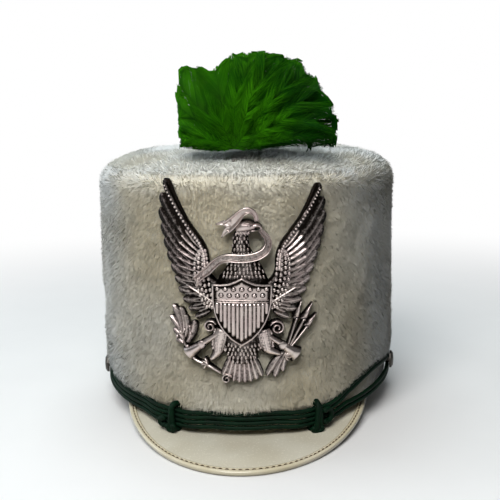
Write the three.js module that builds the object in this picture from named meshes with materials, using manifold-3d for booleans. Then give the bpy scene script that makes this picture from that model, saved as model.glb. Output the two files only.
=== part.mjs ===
// A marching band hat: an oval shell under white fur, a stitched peak, a green cord with two knots,
// a cast eagle badge with its own shield, and a green feather plume. Millimetres, +Z up, front at -Y.
import * as THREE from 'three';
import { ConvexGeometry } from 'three/addons/geometries/ConvexGeometry.js';
import { mergeVertices } from 'three/addons/utils/BufferGeometryUtils.js';
import Module from 'manifold-3d';

const wasm = await Module();
wasm.setup();

// Shell: the inside fits a head of about 56 cm round.
const HEAD_HALF_WIDTH = 82.5;
const HEAD_HALF_LENGTH = 96.5;
const SHELL_WALL = 2.5;
const SHELL_HEIGHT = 154.5;
const SHELL_CORNER = 5;
const RIM_SIDE_RISE = 10;
const GAP = 0.3;
const COLUMNS = 48;

// Fur: depth of the pile beyond the shell, and the locks that stand out of it.
const FUR_DEPTH = 13.2;
const FUR_HEM = 4.2;
const FUR_PRESSED = 9;
const FUR_BACK_DEPTH = 11;
const SEAM_RISE = 0;
const SEAM_REACH = 6;
const TOP_FUR_DEPTH = 11.5;
const LOCK_HEIGHT = 1.4;
const LOCK_DROP = 3;

// Peak and its binding.
const PEAK_REACH = 55.2;
const PEAK_EDGE_HALF_WIDTH = 76.2;
const PEAK_EDGE_SET = 50;
const PEAK_FALL = 4.4;
const PEAK_THICKNESS = 1.9;
const PEAK_EDGE_THICKNESS = 1.2;
const PEAK_ROOT_RISE = -0.6;
const PEAK_CROWN = 0.9;
const PEAK_HALF_ANGLE = 61;
const PEAK_FLAT_SHARE = 0.27;
const PEAK_POINT = 1.29;
const BINDING_WIDTH = 4;
const BINDING_WALL = 0.6;

// Cord: two closed loops round the side buttons, with wound knots that slide on them.
const CORD_RADIUS = 1.3;
const CORD_PITCH = 2.9;
const CORD_REST_RISE = 3.7;
const CORD_SLACK_LEFT = 0.6;
const CORD_SLACK_RIGHT = 3.4;
const CORD_SAG_LEFT = 2.4;
const KNOT_DIP = 1.2;
const KNOT_ANGLE = 25.7;
const KNOT_HALF_ANGLE = 8;
const WRAP_RADIUS = 1.05;
const WRAP_PITCH = 3.4;
const WRAP_TURNS = 3;
const WRAP_SLACK = 0.6;
const WRAP_SLANT = 0.14;

// Side buttons.
const BUTTON_ANGLE = 80;
const BUTTON_RADIUS = 6;
const BUTTON_DOME = 1.6;
const BUTTON_EDGE = 1.2;
const SHANK_RADIUS = 2.2;

// Badge.
const BADGE_WIDTH = 96.5;
const BADGE_TURN = -0.9;
const BADGE_SIDE_SHIFT = 0.8;
const BADGE_HEIGHT = 116;
const BADGE_ORIGIN_HEIGHT = 94.5;
const BADGE_CLEARANCE = 0.8;
const BADGE_PLATE = 2.2;
const BADGE_BODY = 4.6;
const SHIELD_HALF_WIDTH = 16.6;
const SHIELD_HEIGHT = 37;
const SHIELD_PLATE = 1.4;
const SHIELD_DOME = 1.6;
const POST_RADIUS = 1.5;
const POST_HEAD_SPACE = 5;
const NUT_RADIUS = 4;
const NUT_THICKNESS = 2.4;

// Plume.
const PLUME_HEIGHT = 60;
const PLUME_HEAD_RADIUS = 8;
const PLUME_SETBACK = 13;
const PLUME_SIDE_SHIFT = -4;
const BLADE_THICKNESS = 5;
const STEM_RADIUS = 1.6;
const STEM_COLLAR_RADIUS = 4;
const STEM_COLLAR_THICKNESS = 2;
const STEM_TAIL = 12;

const SHELL_HALF_WIDTH = HEAD_HALF_WIDTH + SHELL_WALL;
const SHELL_HALF_LENGTH = HEAD_HALF_LENGTH + SHELL_WALL;
const radians = THREE.MathUtils.degToRad;
const lerp = THREE.MathUtils.lerp;
const smoothstep = THREE.MathUtils.smoothstep;

const FUR = { color: 0xe9e4d6, roughness: 0.95, metalness: 0 };
const SHELL = { color: 0xd8d4c8, roughness: 0.6, metalness: 0 };
const VINYL = { color: 0xe3ddc9, roughness: 0.25, metalness: 0 };
const CORD = { color: 0x0c4a2c, roughness: 0.55, metalness: 0 };
const SILVER = { color: 0x9a9490, roughness: 0.3, metalness: 1 };
const FEATHER = { color: 0x1c7a12, roughness: 0.7, metalness: 0 };

// A point of the oval crown. Angle 0 is the front, 90 degrees is +X, and offset is beyond the shell.
function crownPoint(angle, offset, z) {
  const x = (SHELL_HALF_WIDTH + offset) * Math.sin(angle);
  const y = -(SHELL_HALF_LENGTH + offset) * Math.cos(angle);
  return new THREE.Vector3(x, y, z);
}

function rimHeight(angle) {
  return RIM_SIDE_RISE * Math.sin(angle) ** 2;
}

// Heights above the rim follow its curve, which fades out towards the top of the shell.
function heightAboveRim(angle, height) {
  return height + rimHeight(angle) * (1 - Math.max(height, 0) / SHELL_HEIGHT);
}

function crownNormal(angle) {
  const x = Math.sin(angle) / SHELL_HALF_WIDTH;
  const y = -Math.cos(angle) / SHELL_HALF_LENGTH;
  return new THREE.Vector3(x, y, 0).normalize();
}

function crownTangent(angle) {
  const normal = crownNormal(angle);
  return new THREE.Vector3(-normal.y, normal.x, 0);
}

// The angle at which a length measured round the crown from the front centre ends.
function angleAtLength(length, offset) {
  const steps = 12;
  let angle = 0;
  for (let i = 0; i < steps; i += 1) {
    const x = (SHELL_HALF_WIDTH + offset) * Math.cos(angle);
    const y = (SHELL_HALF_LENGTH + offset) * Math.sin(angle);
    angle += length / steps / Math.hypot(x, y);
  }
  return angle;
}

// Points and faces of one closed body, gathered ring by ring.
class Skin {
  constructor() {
    this.points = [];
    this.faces = [];
  }

  ring(points) {
    const first = this.points.length;
    this.points.push(...points);
    return points.map((_, i) => first + i);
  }

  band(from, to, closed = true) {
    const count = closed ? from.length : from.length - 1;
    for (let i = 0; i < count; i += 1) {
      const next = (i + 1) % from.length;
      this.faces.push([from[i], from[next], to[next]], [from[i], to[next], to[i]]);
    }
  }

  fan(ring, centre, reversed = false) {
    const [tip] = this.ring([centre]);
    ring.forEach((corner, i) => {
      const next = ring[(i + 1) % ring.length];
      this.faces.push(reversed ? [next, corner, tip] : [corner, next, tip]);
    });
  }

  // A strip of triangles between two rings that lie half a column apart. Each triangle that
  // hangs from the far ring is raised into a lock, whose tip push gives.
  lockBand(from, to, fromStaggered, push) {
    from.forEach((_, i) => {
      const next = (i + 1) % from.length;
      const plain = fromStaggered
        ? [from[i], from[next], to[next]]
        : [from[i], from[next], to[i]];
      const hanging = fromStaggered
        ? [from[i], to[next], to[i]]
        : [from[next], to[next], to[i]];
      this.faces.push(plain);
      const corners = hanging.map((corner) => this.points[corner]);
      const tip = push(corners);
      if (tip === null) {
        this.faces.push(hanging);
        return;
      }
      const [point] = this.ring([tip]);
      hanging.forEach((corner, k) => this.faces.push([corner, hanging[(k + 1) % 3], point]));
    });
  }

  geometry() {
    const made = new THREE.BufferGeometry().setFromPoints(this.points);
    made.setIndex(this.faces.flat());
    return made;
  }
}

function toSolid(geometry) {
  const bare = geometry.clone();
  ['normal', 'uv', 'color'].forEach((name) => bare.deleteAttribute(name));
  const merged = mergeVertices(bare);
  return new wasm.Manifold(new wasm.Mesh({
    numProp: 3,
    vertProperties: new Float32Array(merged.attributes.position.array),
    triVerts: new Uint32Array(merged.index.array),
  }));
}

function toGeometry(solid) {
  const mesh = solid.getMesh();
  const geometry = new THREE.BufferGeometry();
  geometry.setAttribute('position', new THREE.BufferAttribute(new Float32Array(mesh.vertProperties), 3));
  geometry.setIndex(new THREE.BufferAttribute(new Uint32Array(mesh.triVerts), 1));
  return geometry;
}

function union(geometries) {
  const solids = geometries.map(toSolid);
  return toGeometry(solids.slice(1).reduce((whole, solid) => whole.add(solid), solids[0]));
}

function cut(geometry, cutters) {
  return toGeometry(cutters.reduce((left, cutter) => left.subtract(toSolid(cutter)), toSolid(geometry)));
}

function movePoints(geometry, move) {
  const position = geometry.attributes.position;
  for (let i = 0; i < position.count; i += 1) {
    const moved = move(new THREE.Vector3().fromBufferAttribute(position, i));
    position.setXYZ(i, moved.x, moved.y, moved.z);
  }
  return geometry;
}

function material(look) {
  return new THREE.MeshStandardMaterial(look);
}

function piece(name, geometry, look) {
  const mesh = new THREE.Mesh(geometry, material(look));
  mesh.name = name;
  return mesh;
}

// A round bar between two points.
function bar(start, end, radius, sides = 12) {
  const length = start.distanceTo(end);
  const cylinder = new THREE.CylinderGeometry(radius, radius, length, sides);
  const along = end.clone().sub(start).normalize();
  const turn = new THREE.Quaternion().setFromUnitVectors(new THREE.Vector3(0, 1, 0), along);
  const middle = start.clone().add(end).multiplyScalar(0.5);
  return cylinder.applyQuaternion(turn).translate(middle.x, middle.y, middle.z);
}

function crownRing(offset, heightAt, staggered = false) {
  return Array.from({ length: COLUMNS }, (_, i) => {
    const angle = ((i + (staggered ? 0.5 : 0)) / COLUMNS) * 2 * Math.PI;
    return crownPoint(angle, offset, heightAt(angle));
  });
}

function ringAtHeight(height) {
  return (angle) => heightAboveRim(angle, height);
}

// Holes that the badge posts, the button shanks and the plume's stem pass through.
const postHeights = [BADGE_ORIGIN_HEIGHT + 0.04 * BADGE_HEIGHT, BADGE_ORIGIN_HEIGHT - 0.25 * BADGE_HEIGHT];
const cordHeight = PEAK_ROOT_RISE + PEAK_THICKNESS + CORD_REST_RISE + CORD_RADIUS + 1.5 * CORD_PITCH;
const cordBandTop = cordHeight + 1.5 * CORD_PITCH + CORD_RADIUS + GAP;
const stemPlace = new THREE.Vector2(PLUME_SIDE_SHIFT, -(SHELL_HALF_LENGTH - PLUME_SETBACK));

function postBar(height, radius, from, to) {
  const outer = new THREE.Vector3(0, -(SHELL_HALF_LENGTH + from), height);
  const inner = new THREE.Vector3(0, -(SHELL_HALF_LENGTH + to), height);
  return bar(outer, inner, radius);
}

function shankBar(side, radius, from, to) {
  const angle = side * radians(BUTTON_ANGLE);
  const height = heightAboveRim(angle, cordMiddle(angle));
  const normal = crownNormal(angle);
  const foot = crownPoint(angle, 0, height);
  const outer = foot.clone().addScaledVector(normal, from);
  const inner = foot.clone().addScaledVector(normal, to);
  return bar(outer, inner, radius);
}

function sideHoles() {
  const reach = FUR_DEPTH + LOCK_HEIGHT + 4;
  const posts = postHeights.map((height) => postBar(height, POST_RADIUS + GAP, reach, -3 * SHELL_WALL));
  const shanks = [-1, 1].map((side) => shankBar(side, SHANK_RADIUS + GAP, reach, -3 * SHELL_WALL));
  return [...posts, ...shanks];
}

function stemHole() {
  const low = new THREE.Vector3(stemPlace.x, stemPlace.y, SHELL_HEIGHT - 3 * SHELL_WALL);
  const high = new THREE.Vector3(stemPlace.x, stemPlace.y, SHELL_HEIGHT + 2 * TOP_FUR_DEPTH);
  return bar(low, high, STEM_RADIUS + GAP);
}

// The stiff oval shell, open below, with a closed deck.
function shellGeometry() {
  const skin = new Skin();
  const deckUnder = SHELL_HEIGHT - SHELL_WALL;
  const innerTop = skin.ring(crownRing(-SHELL_WALL, () => deckUnder));
  const innerLow = skin.ring(crownRing(-SHELL_WALL, ringAtHeight(0)));
  const outerLow = skin.ring(crownRing(0, ringAtHeight(0)));
  const outerTop = skin.ring(crownRing(0, () => SHELL_HEIGHT - SHELL_CORNER));
  const chamfer = (1 - Math.SQRT1_2) * SHELL_CORNER;
  const bend = skin.ring(crownRing(-chamfer, () => SHELL_HEIGHT - chamfer));
  const deck = skin.ring(crownRing(-SHELL_CORNER, () => SHELL_HEIGHT));
  skin.fan(innerTop, new THREE.Vector3(0, 0, deckUnder), true);
  skin.band(innerTop, innerLow);
  skin.band(innerLow, outerLow);
  skin.band(outerLow, outerTop);
  skin.band(outerTop, bend);
  skin.band(bend, deck);
  skin.fan(deck, new THREE.Vector3(0, 0, SHELL_HEIGHT));
  return cut(skin.geometry(), [...sideHoles(), stemHole()]);
}

// Rows of the side fur. The rise is a share of the wall between the cord band and the seam, the depth
// a share of FUR_DEPTH, and the lock a share of LOCK_HEIGHT.
const SIDE_FUR_ROWS = [
  { rise: 0.11, depth: 0.82, lock: 1 },
  { rise: 0.25, depth: 0.89, lock: 1 },
  { rise: 0.4, depth: 0.88, lock: 1 },
  { rise: 0.55, depth: 0.88, lock: 1 },
  { rise: 0.7, depth: 0.87, lock: 1 },
  { rise: 0.85, depth: 0.86, lock: 0.8 },
  { rise: 0.95, depth: 0.76, lock: 0.5 },
];

// The tip of a lock on the side: outwards, and lower than the middle of its triangle.
function sideLockTip(lift) {
  return (corners) => {
    if (lift === 0) {
      return null;
    }
    const tip = corners[0].clone().multiplyScalar(2).add(corners[1]).add(corners[2]).divideScalar(4);
    const out = new THREE.Vector3(tip.x, tip.y, 0).normalize();
    tip.addScaledVector(out, lift * LOCK_HEIGHT);
    tip.z -= lift * LOCK_DROP;
    return tip;
  };
}

// The pile is pressed flat under the cord, as far round as the buttons, and is full behind them.
function pressedDepth(angle) {
  const beyond = Math.abs(Math.atan2(Math.sin(angle), Math.cos(angle))) - radians(BUTTON_ANGLE);
  return lerp(FUR_PRESSED, FUR_BACK_DEPTH, smoothstep(beyond, radians(8), radians(26)));
}

function pressedRing(heightAt) {
  return Array.from({ length: COLUMNS }, (_, i) => {
    const angle = (i / COLUMNS) * 2 * Math.PI;
    return crownPoint(angle, pressedDepth(angle), heightAt(angle));
  });
}

// The fur that wraps the wall. It bulges out above the cord.
function sideFurGeometry() {
  const skin = new Skin();
  const seamTop = SHELL_HEIGHT + SEAM_RISE;
  const inner = skin.ring(crownRing(GAP, ringAtHeight(FUR_HEM)));
  const hem = skin.ring(pressedRing(ringAtHeight(FUR_HEM)));
  const band = skin.ring(pressedRing((angle) => {
    return heightAboveRim(angle, cordBandTop + 2 * cordSpread(angle));
  }));
  skin.band(inner, hem);
  skin.band(hem, band);
  let below = band;
  let lift = 0;
  SIDE_FUR_ROWS.forEach((row, i) => {
    const staggered = i % 2 === 0;
    const ring = skin.ring(crownRing(row.depth * FUR_DEPTH, (angle) => {
      const low = cordBandTop + 2 * cordSpread(angle) * (1 - row.rise);
      return heightAboveRim(angle, lerp(low, seamTop, row.rise));
    }, staggered));
    skin.lockBand(below, ring, !staggered, sideLockTip(lift));
    below = ring;
    lift = row.lock;
  });
  const seam = skin.ring(crownRing(SEAM_REACH, () => seamTop));
  const inside = skin.ring(crownRing(GAP, () => SHELL_HEIGHT));
  skin.band(below, seam);
  skin.band(seam, inside);
  skin.band(inside, inner);
  return cut(skin.geometry(), sideHoles());
}

// Rings of the top fur: the reach is a share of the way out to the seam, the rise a share of its depth.
const TOP_FUR_RINGS = [
  { reach: 0.96, rise: 0.54 },
  { reach: 0.86, rise: 0.88 },
  { reach: 0.66, rise: 0.98 },
  { reach: 0.38, rise: 1 },
];

function topRing(reach, z, staggered) {
  return crownRing(SEAM_REACH, () => z, staggered).map((point) => {
    return new THREE.Vector3(point.x * reach, point.y * reach, point.z);
  });
}

function topFurGeometry() {
  const skin = new Skin();
  const low = SHELL_HEIGHT + GAP;
  const under = skin.ring(crownRing(0, () => low));
  const seam = skin.ring(crownRing(SEAM_REACH, () => SHELL_HEIGHT + SEAM_RISE + GAP));
  skin.fan(under, new THREE.Vector3(0, 0, low), true);
  skin.band(under, seam);
  let outer = seam;
  TOP_FUR_RINGS.forEach((row, i) => {
    const staggered = i % 2 === 0;
    const rowHeight = low + row.rise * TOP_FUR_DEPTH - LOCK_HEIGHT;
    const ring = skin.ring(topRing(row.reach, rowHeight, staggered));
    skin.lockBand(outer, ring, !staggered, (corners) => {
      if (i < 2) {
        return null;
      }
      const tip = corners[0].clone().add(corners[1]).add(corners[2]).divideScalar(3);
      tip.z += LOCK_HEIGHT;
      return tip;
    });
    outer = ring;
  });
  skin.fan(outer, new THREE.Vector3(0, 0, low + TOP_FUR_DEPTH));
  return cut(skin.geometry(), [stemHole(), plumeHeadGeometry(GAP)]);
}

// The peak. Along runs from -1 to 1 round the front, and across from 0 at the shell to 1 at the edge.
const backContact = SHELL_HALF_LENGTH;
const nominalTilt = Math.atan2(PEAK_FALL, backContact + SHELL_HALF_LENGTH + PEAK_REACH);

function peakMiddle(along, across) {
  const angle = along * radians(PEAK_HALF_ANGLE);
  const turn = (along * Math.PI) / 2;
  const reach = SHELL_HALF_LENGTH + PEAK_REACH - PEAK_EDGE_SET;
  const root = crownPoint(angle, GAP, rimHeight(angle) + PEAK_ROOT_RISE + PEAK_THICKNESS / 2);
  const edgeX = PEAK_EDGE_HALF_WIDTH * Math.sin(turn);
  const edgeY = -PEAK_EDGE_SET - reach * Math.cos(turn) ** PEAK_POINT;
  const floor = -(backContact - edgeY) * Math.tan(nominalTilt);
  const rest = floor + BINDING_WALL + GAP + PEAK_EDGE_THICKNESS / 2;
  const lifted = smoothstep(Math.abs(along), PEAK_FLAT_SHARE, 1);
  const edge = new THREE.Vector3(edgeX, edgeY, lerp(rest, root.z, lifted));
  const middle = root.lerp(edge, across);
  middle.z += PEAK_CROWN * Math.cos(turn) * Math.sin(across * Math.PI);
  return middle;
}

// Directions at a point of the peak: outwards across it, and square to its upper face.
function peakFrame(along, across) {
  const step = 0.01;
  const out = peakMiddle(along, across).sub(peakMiddle(along, across - step)).normalize();
  const round = peakMiddle(along + step, across).sub(peakMiddle(along - step, across)).normalize();
  return { out, up: new THREE.Vector3().crossVectors(round, out).negate().normalize() };
}

const PEAK_STEPS = 24;
const PEAK_ROWS = [0, 0.25, 0.5, 0.75, 1];

// The peak is thinner towards its edge and towards its two ends.
function peakGeometry() {
  const skin = new Skin();
  const sections = [];
  for (let i = 0; i <= PEAK_STEPS; i += 1) {
    const along = (2 * i) / PEAK_STEPS - 1;
    const place = (across, side) => {
      const point = peakMiddle(along, across);
      const thinned = lerp(across, 1, along ** 4);
      point.z += (side * lerp(PEAK_THICKNESS, PEAK_EDGE_THICKNESS, thinned)) / 2;
      return point;
    };
    const upper = PEAK_ROWS.map((across) => place(across, 1));
    const lower = [...PEAK_ROWS].reverse().map((across) => place(across, -1));
    sections.push(skin.ring([...upper, ...lower]));
  }
  sections.slice(1).forEach((section, i) => skin.band(section, sections[i]));
  const count = PEAK_ROWS.length;
  const cap = (section, reversed) => {
    for (let k = 0; k < count - 1; k += 1) {
      const [a, b] = [section[k], section[k + 1]];
      const [c, d] = [section[2 * count - 2 - k], section[2 * count - 1 - k]];
      skin.faces.push(...(reversed ? [[a, b, c], [a, c, d]] : [[a, c, b], [a, d, c]]));
    }
  };
  cap(sections[0], true);
  cap(sections[PEAK_STEPS], false);
  return facingOut(skin.geometry());
}

// The strip folded round the peak's edge. Out and up are in millimetres from the edge's middle.
function bindingSection() {
  const slot = PEAK_EDGE_THICKNESS / 2 + GAP;
  const skin = slot + BINDING_WALL;
  return [
    { out: -BINDING_WIDTH, up: slot },
    { out: -BINDING_WIDTH, up: skin },
    { out: 0, up: skin },
    { out: GAP + BINDING_WALL, up: skin / 2 },
    { out: GAP + BINDING_WALL, up: -skin / 2 },
    { out: 0, up: -skin },
    { out: -BINDING_WIDTH, up: -skin },
    { out: -BINDING_WIDTH, up: -slot },
    { out: GAP, up: -slot },
    { out: GAP, up: slot },
  ];
}

// The binding stops short of the peak's two ends by one step.
function bindingGeometry() {
  const skin = new Skin();
  const profile = bindingSection();
  const sections = [];
  for (let i = 1; i < PEAK_STEPS; i += 1) {
    const along = (2 * i) / PEAK_STEPS - 1;
    const edge = peakMiddle(along, 1);
    const { out, up } = peakFrame(along, 1);
    sections.push(skin.ring(profile.map((corner) => {
      return edge.clone().addScaledVector(out, corner.out).addScaledVector(up, corner.up);
    })));
  }
  sections.slice(1).forEach((section, i) => skin.band(section, sections[i]));
  const shape = THREE.ShapeUtils.triangulateShape(
    profile.map((corner) => new THREE.Vector2(corner.out, corner.up)),
    [],
  );
  shape.forEach(([a, b, c]) => {
    skin.faces.push([sections[0][c], sections[0][b], sections[0][a]]);
    const last = sections[sections.length - 1];
    skin.faces.push([last[a], last[b], last[c]]);
  });
  return facingOut(skin.geometry());
}

// The cord runs at this depth beyond the shell, and further out where a knot passes behind it.
const cordDepth = FUR_PRESSED + GAP + CORD_RADIUS;
const knotBore = CORD_RADIUS + WRAP_SLACK;
const knotDepth = FUR_PRESSED + GAP + 2 * WRAP_RADIUS + knotBore;
const loopRadius = SHANK_RADIUS + 2 * GAP + CORD_RADIUS;

// 1 at a knot, falling to 0 a little way off it on both sides.
function nearKnot(angle) {
  const away = Math.abs(Math.abs(angle) - radians(KNOT_ANGLE)) / radians(KNOT_HALF_ANGLE);
  return 1 - smoothstep(away, 0.6, 2);
}

function strandDepth(angle) {
  return lerp(cordDepth, knotDepth, nearKnot(angle));
}

// Half the space that opens between the upper and the lower strands on their way to the button.
function cordSpread(angle) {
  const around = Math.abs(Math.atan2(Math.sin(angle), Math.cos(angle)));
  const knotEnd = radians(KNOT_ANGLE) + (WRAP_TURNS * WRAP_PITCH) / 2 / SHELL_HALF_LENGTH;
  const way = (around - knotEnd) / (radians(BUTTON_ANGLE) - knotEnd);
  const open = (loopRadius - CORD_PITCH / 2) * smoothstep(way, 0.1, 1);
  const most = Math.sin(angle) < 0 ? CORD_SLACK_LEFT : CORD_SLACK_RIGHT;
  const slack = most * Math.sin(Math.PI * THREE.MathUtils.clamp(way, 0, 1)) ** 2;
  return (open + slack) * (1 - smoothstep(way, 1.1, 1.6));
}

// The middle of the cord band rises as the band opens, dips under the knots, and hangs a little
// lower on the left.
function cordMiddle(angle) {
  const sag = CORD_SAG_LEFT * smoothstep(-Math.sin(angle), Math.sin(radians(KNOT_ANGLE)), 1);
  return cordHeight + cordSpread(angle) - KNOT_DIP * nearKnot(angle) - sag;
}

function strandPoint(angle, away) {
  return crownPoint(angle, strandDepth(angle), heightAboveRim(angle, cordMiddle(angle) + away));
}

// A closed round tube through points round the crown, each given with its outward direction.
function closedTube(stations, radius, sides) {
  const skin = new Skin();
  const count = stations.length;
  const rings = stations.map(({ point, out }, i) => {
    const before = stations[(i + count - 1) % count].point;
    const after = stations[(i + 1) % count].point;
    const along = after.clone().sub(before).normalize();
    const across = new THREE.Vector3().crossVectors(along, out).normalize();
    const lift = new THREE.Vector3().crossVectors(across, along);
    return skin.ring(Array.from({ length: sides }, (_, k) => {
      const turn = (k / sides) * 2 * Math.PI;
      const corner = point.clone().addScaledVector(lift, radius * Math.cos(turn));
      return corner.addScaledVector(across, radius * Math.sin(turn));
    }));
  });
  rings.forEach((ring, i) => skin.band(ring, rings[(i + 1) % count]));
  return facingOut(skin.geometry());
}

const CORD_STEPS = 20;
const CORD_SIDES = 8;
const LOOP_STEPS = 5;

// Row 0 is the inner loop, row 1 the outer. Each runs along the front and back, round both buttons.
function cordLoopGeometry(row) {
  const stations = [];
  const limit = radians(BUTTON_ANGLE);
  const radius = loopRadius + row * CORD_PITCH;
  const add = (angle, away) => stations.push({ point: strandPoint(angle, away), out: crownNormal(angle) });
  [-1, 1].forEach((side) => {
    for (let i = 0; i < CORD_STEPS; i += 1) {
      const angle = side * lerp(-limit, limit, i / CORD_STEPS);
      add(angle, side * ((row + 0.5) * CORD_PITCH + cordSpread(angle)));
    }
    for (let k = 0; k < LOOP_STEPS; k += 1) {
      const turn = (Math.PI * k) / LOOP_STEPS;
      const angle = side * limit;
      const place = strandPoint(angle, side * radius * Math.cos(turn));
      place.addScaledVector(crownTangent(angle), side * radius * Math.sin(turn));
      stations.push({ point: place, out: crownNormal(angle) });
    }
  });
  return closedTube(stations, CORD_RADIUS, CORD_SIDES);
}

// Stations across one turn of a knot, and how far each swells, as shares of the pitch and the radius.
const WRAP_STATIONS = [
  { across: 0, swell: 0.35 },
  { across: 0.18, swell: 0.82 },
  { across: 0.5, swell: 1 },
  { across: 0.82, swell: 0.82 },
];
const WRAP_CORNERS = [-90, -45, 0, 45, 90];

// A slide knot: turns of cord side by side, wound round the stacked strands, as one ridged sleeve.
function knotGeometry(side) {
  const angle = side * radians(KNOT_ANGLE);
  const centre = strandPoint(angle, 0);
  const normal = crownNormal(angle);
  const step = radians(1);
  const along = strandPoint(angle + step, 0).sub(strandPoint(angle - step, 0)).normalize();
  const upward = new THREE.Vector3().crossVectors(normal, along);
  const straight = 1.5 * CORD_PITCH;
  const skin = new Skin();
  const ringAt = (slide, reach) => {
    const corners = [1, -1].flatMap((end) => WRAP_CORNERS.map((degree) => {
      const turn = radians(degree);
      const out = end * reach * Math.sin(turn);
      const up = end * (straight + reach * Math.cos(turn));
      const point = centre.clone().addScaledVector(normal, out);
      return point.addScaledVector(along, slide + side * WRAP_SLANT * up).addScaledVector(upward, up);
    }));
    return skin.ring(corners);
  };
  const width = WRAP_TURNS * WRAP_PITCH;
  const outer = [];
  for (let turn = 0; turn < WRAP_TURNS; turn += 1) {
    WRAP_STATIONS.forEach((row) => {
      const slide = (turn + row.across) * WRAP_PITCH - width / 2;
      outer.push(ringAt(slide, knotBore + WRAP_RADIUS * (1 + row.swell)));
    });
  }
  outer.push(ringAt(width / 2, knotBore + WRAP_RADIUS * (1 + WRAP_STATIONS[0].swell)));
  const bores = [ringAt(width / 2, knotBore), ringAt(-width / 2, knotBore)];
  const rings = [...outer, ...bores];
  rings.forEach((ring, i) => skin.band(ring, rings[(i + 1) % rings.length]));
  return facingOut(skin.geometry());
}

// A plain domed button on a shank that runs through the fur and the shell.
function buttonGeometry() {
  const headBack = cordDepth + CORD_RADIUS + GAP;
  const tail = -(SHELL_WALL + GAP);
  const profile = [
    [0, tail - BUTTON_EDGE],
    [SHANK_RADIUS + 2 * GAP + 1, tail - BUTTON_EDGE],
    [SHANK_RADIUS + 2 * GAP + 1, tail],
    [SHANK_RADIUS, tail],
    [SHANK_RADIUS, headBack],
    [BUTTON_RADIUS, headBack],
    [BUTTON_RADIUS, headBack + BUTTON_EDGE],
    [0.7 * BUTTON_RADIUS, headBack + BUTTON_EDGE + 0.75 * BUTTON_DOME],
    [0, headBack + BUTTON_EDGE + BUTTON_DOME],
  ];
  const outline = profile.map(([r, height]) => new THREE.Vector2(r, height));
  return new THREE.LatheGeometry(outline, 10);
}

function button(name, side) {
  const mesh = piece(name, cleaned(buttonGeometry()), SILVER);
  const angle = side * radians(BUTTON_ANGLE);
  mesh.position.copy(crownPoint(angle, 0, heightAboveRim(angle, cordMiddle(angle))));
  mesh.quaternion.setFromUnitVectors(new THREE.Vector3(0, 1, 0), crownNormal(angle));
  return mesh;
}

function cleaned(geometry) {
  ['normal', 'uv'].forEach((name) => geometry.deleteAttribute(name));
  return mergeVertices(geometry);
}

// Badge places are percentages: u of the badge's width from its middle, w of its height from the
// shield's top. The relief is drawn flat, with z as its height, and bent to the crown afterwards.
function badgePoint(u, w, z = 0) {
  return new THREE.Vector3((u / 100) * BADGE_WIDTH, (w / 100) * BADGE_HEIGHT, z);
}

// The relief is drawn from below its back, which is cut to the crown's curve once it is bent.
const RELIEF_FOOT = -3;

// A ridged leaf from its root to its tip, thickest along its middle.
function leaf(root, tip, width, low, high) {
  const along = tip.clone().sub(root);
  const side = new THREE.Vector3(-along.y, along.x, 0).setLength(width / 2);
  const outline = [
    [0.05, 0.4],
    [0.5, 1],
    [0.85, 0.7],
  ];
  const points = [];
  outline.forEach(([share, spread]) => {
    [-1, 1].forEach((hand) => {
      const point = root.clone().addScaledVector(along, share).addScaledVector(side, hand * spread);
      points.push(point.clone().setZ(RELIEF_FOOT), point.clone().setZ(low));
    });
  });
  points.push(tip.clone().setZ(RELIEF_FOOT), tip.clone().setZ(low * 0.8));
  points.push(root.clone().addScaledVector(along, 0.1).setZ(high));
  points.push(root.clone().addScaledVector(along, 0.7).setZ(high));
  return new ConvexGeometry(points);
}

// A fan of feathers in one plate: a ridge runs down each feather, with a groove between each two.
function pleats(table, side, low, high) {
  const places = table.map((row) => ({
    root: badgePoint(side * row.rootU, row.rootW),
    tip: badgePoint(side * row.tipU, row.tipW),
  }));
  const beyond = (near, next) => ({
    root: near.root.clone().multiplyScalar(2).sub(next.root),
    tip: near.tip.clone().multiplyScalar(2).sub(next.tip),
  });
  const last = places.length - 1;
  const all = [beyond(places[0], places[1]), ...places, beyond(places[last], places[last - 1])];
  const lines = [];
  all.slice(1).forEach((place, i) => {
    const root = place.root.clone().lerp(all[i].root, 0.5);
    const tip = place.tip.clone().lerp(all[i].tip, 0.5);
    lines.push({ root, end: root.clone().lerp(tip, 0.86), height: low });
    if (i < places.length) {
      lines.push({ root: place.root, end: place.tip, height: high });
    }
  });
  const skin = new Skin();
  const line = (share, place) => lines.map(({ root, end, height }) => {
    return root.clone().lerp(end, share).setZ(place === 'foot' ? RELIEF_FOOT : place * height);
  });
  const rings = [
    skin.ring(line(1, 'foot')),
    skin.ring(line(0, 'foot')),
    skin.ring(line(0, 1)),
    skin.ring(line(1, 0.85)),
  ];
  rings.forEach((ring, i) => skin.band(ring, rings[(i + 1) % rings.length], false));
  [0, lines.length - 1].forEach((end) => {
    const corners = rings.map((ring) => ring[end]);
    for (let k = 1; k < corners.length - 1; k += 1) {
      const face = [corners[0], corners[k], corners[k + 1]];
      skin.faces.push(end === 0 ? face : face.reverse());
    }
  });
  return facingOut(skin.geometry());
}

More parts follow.
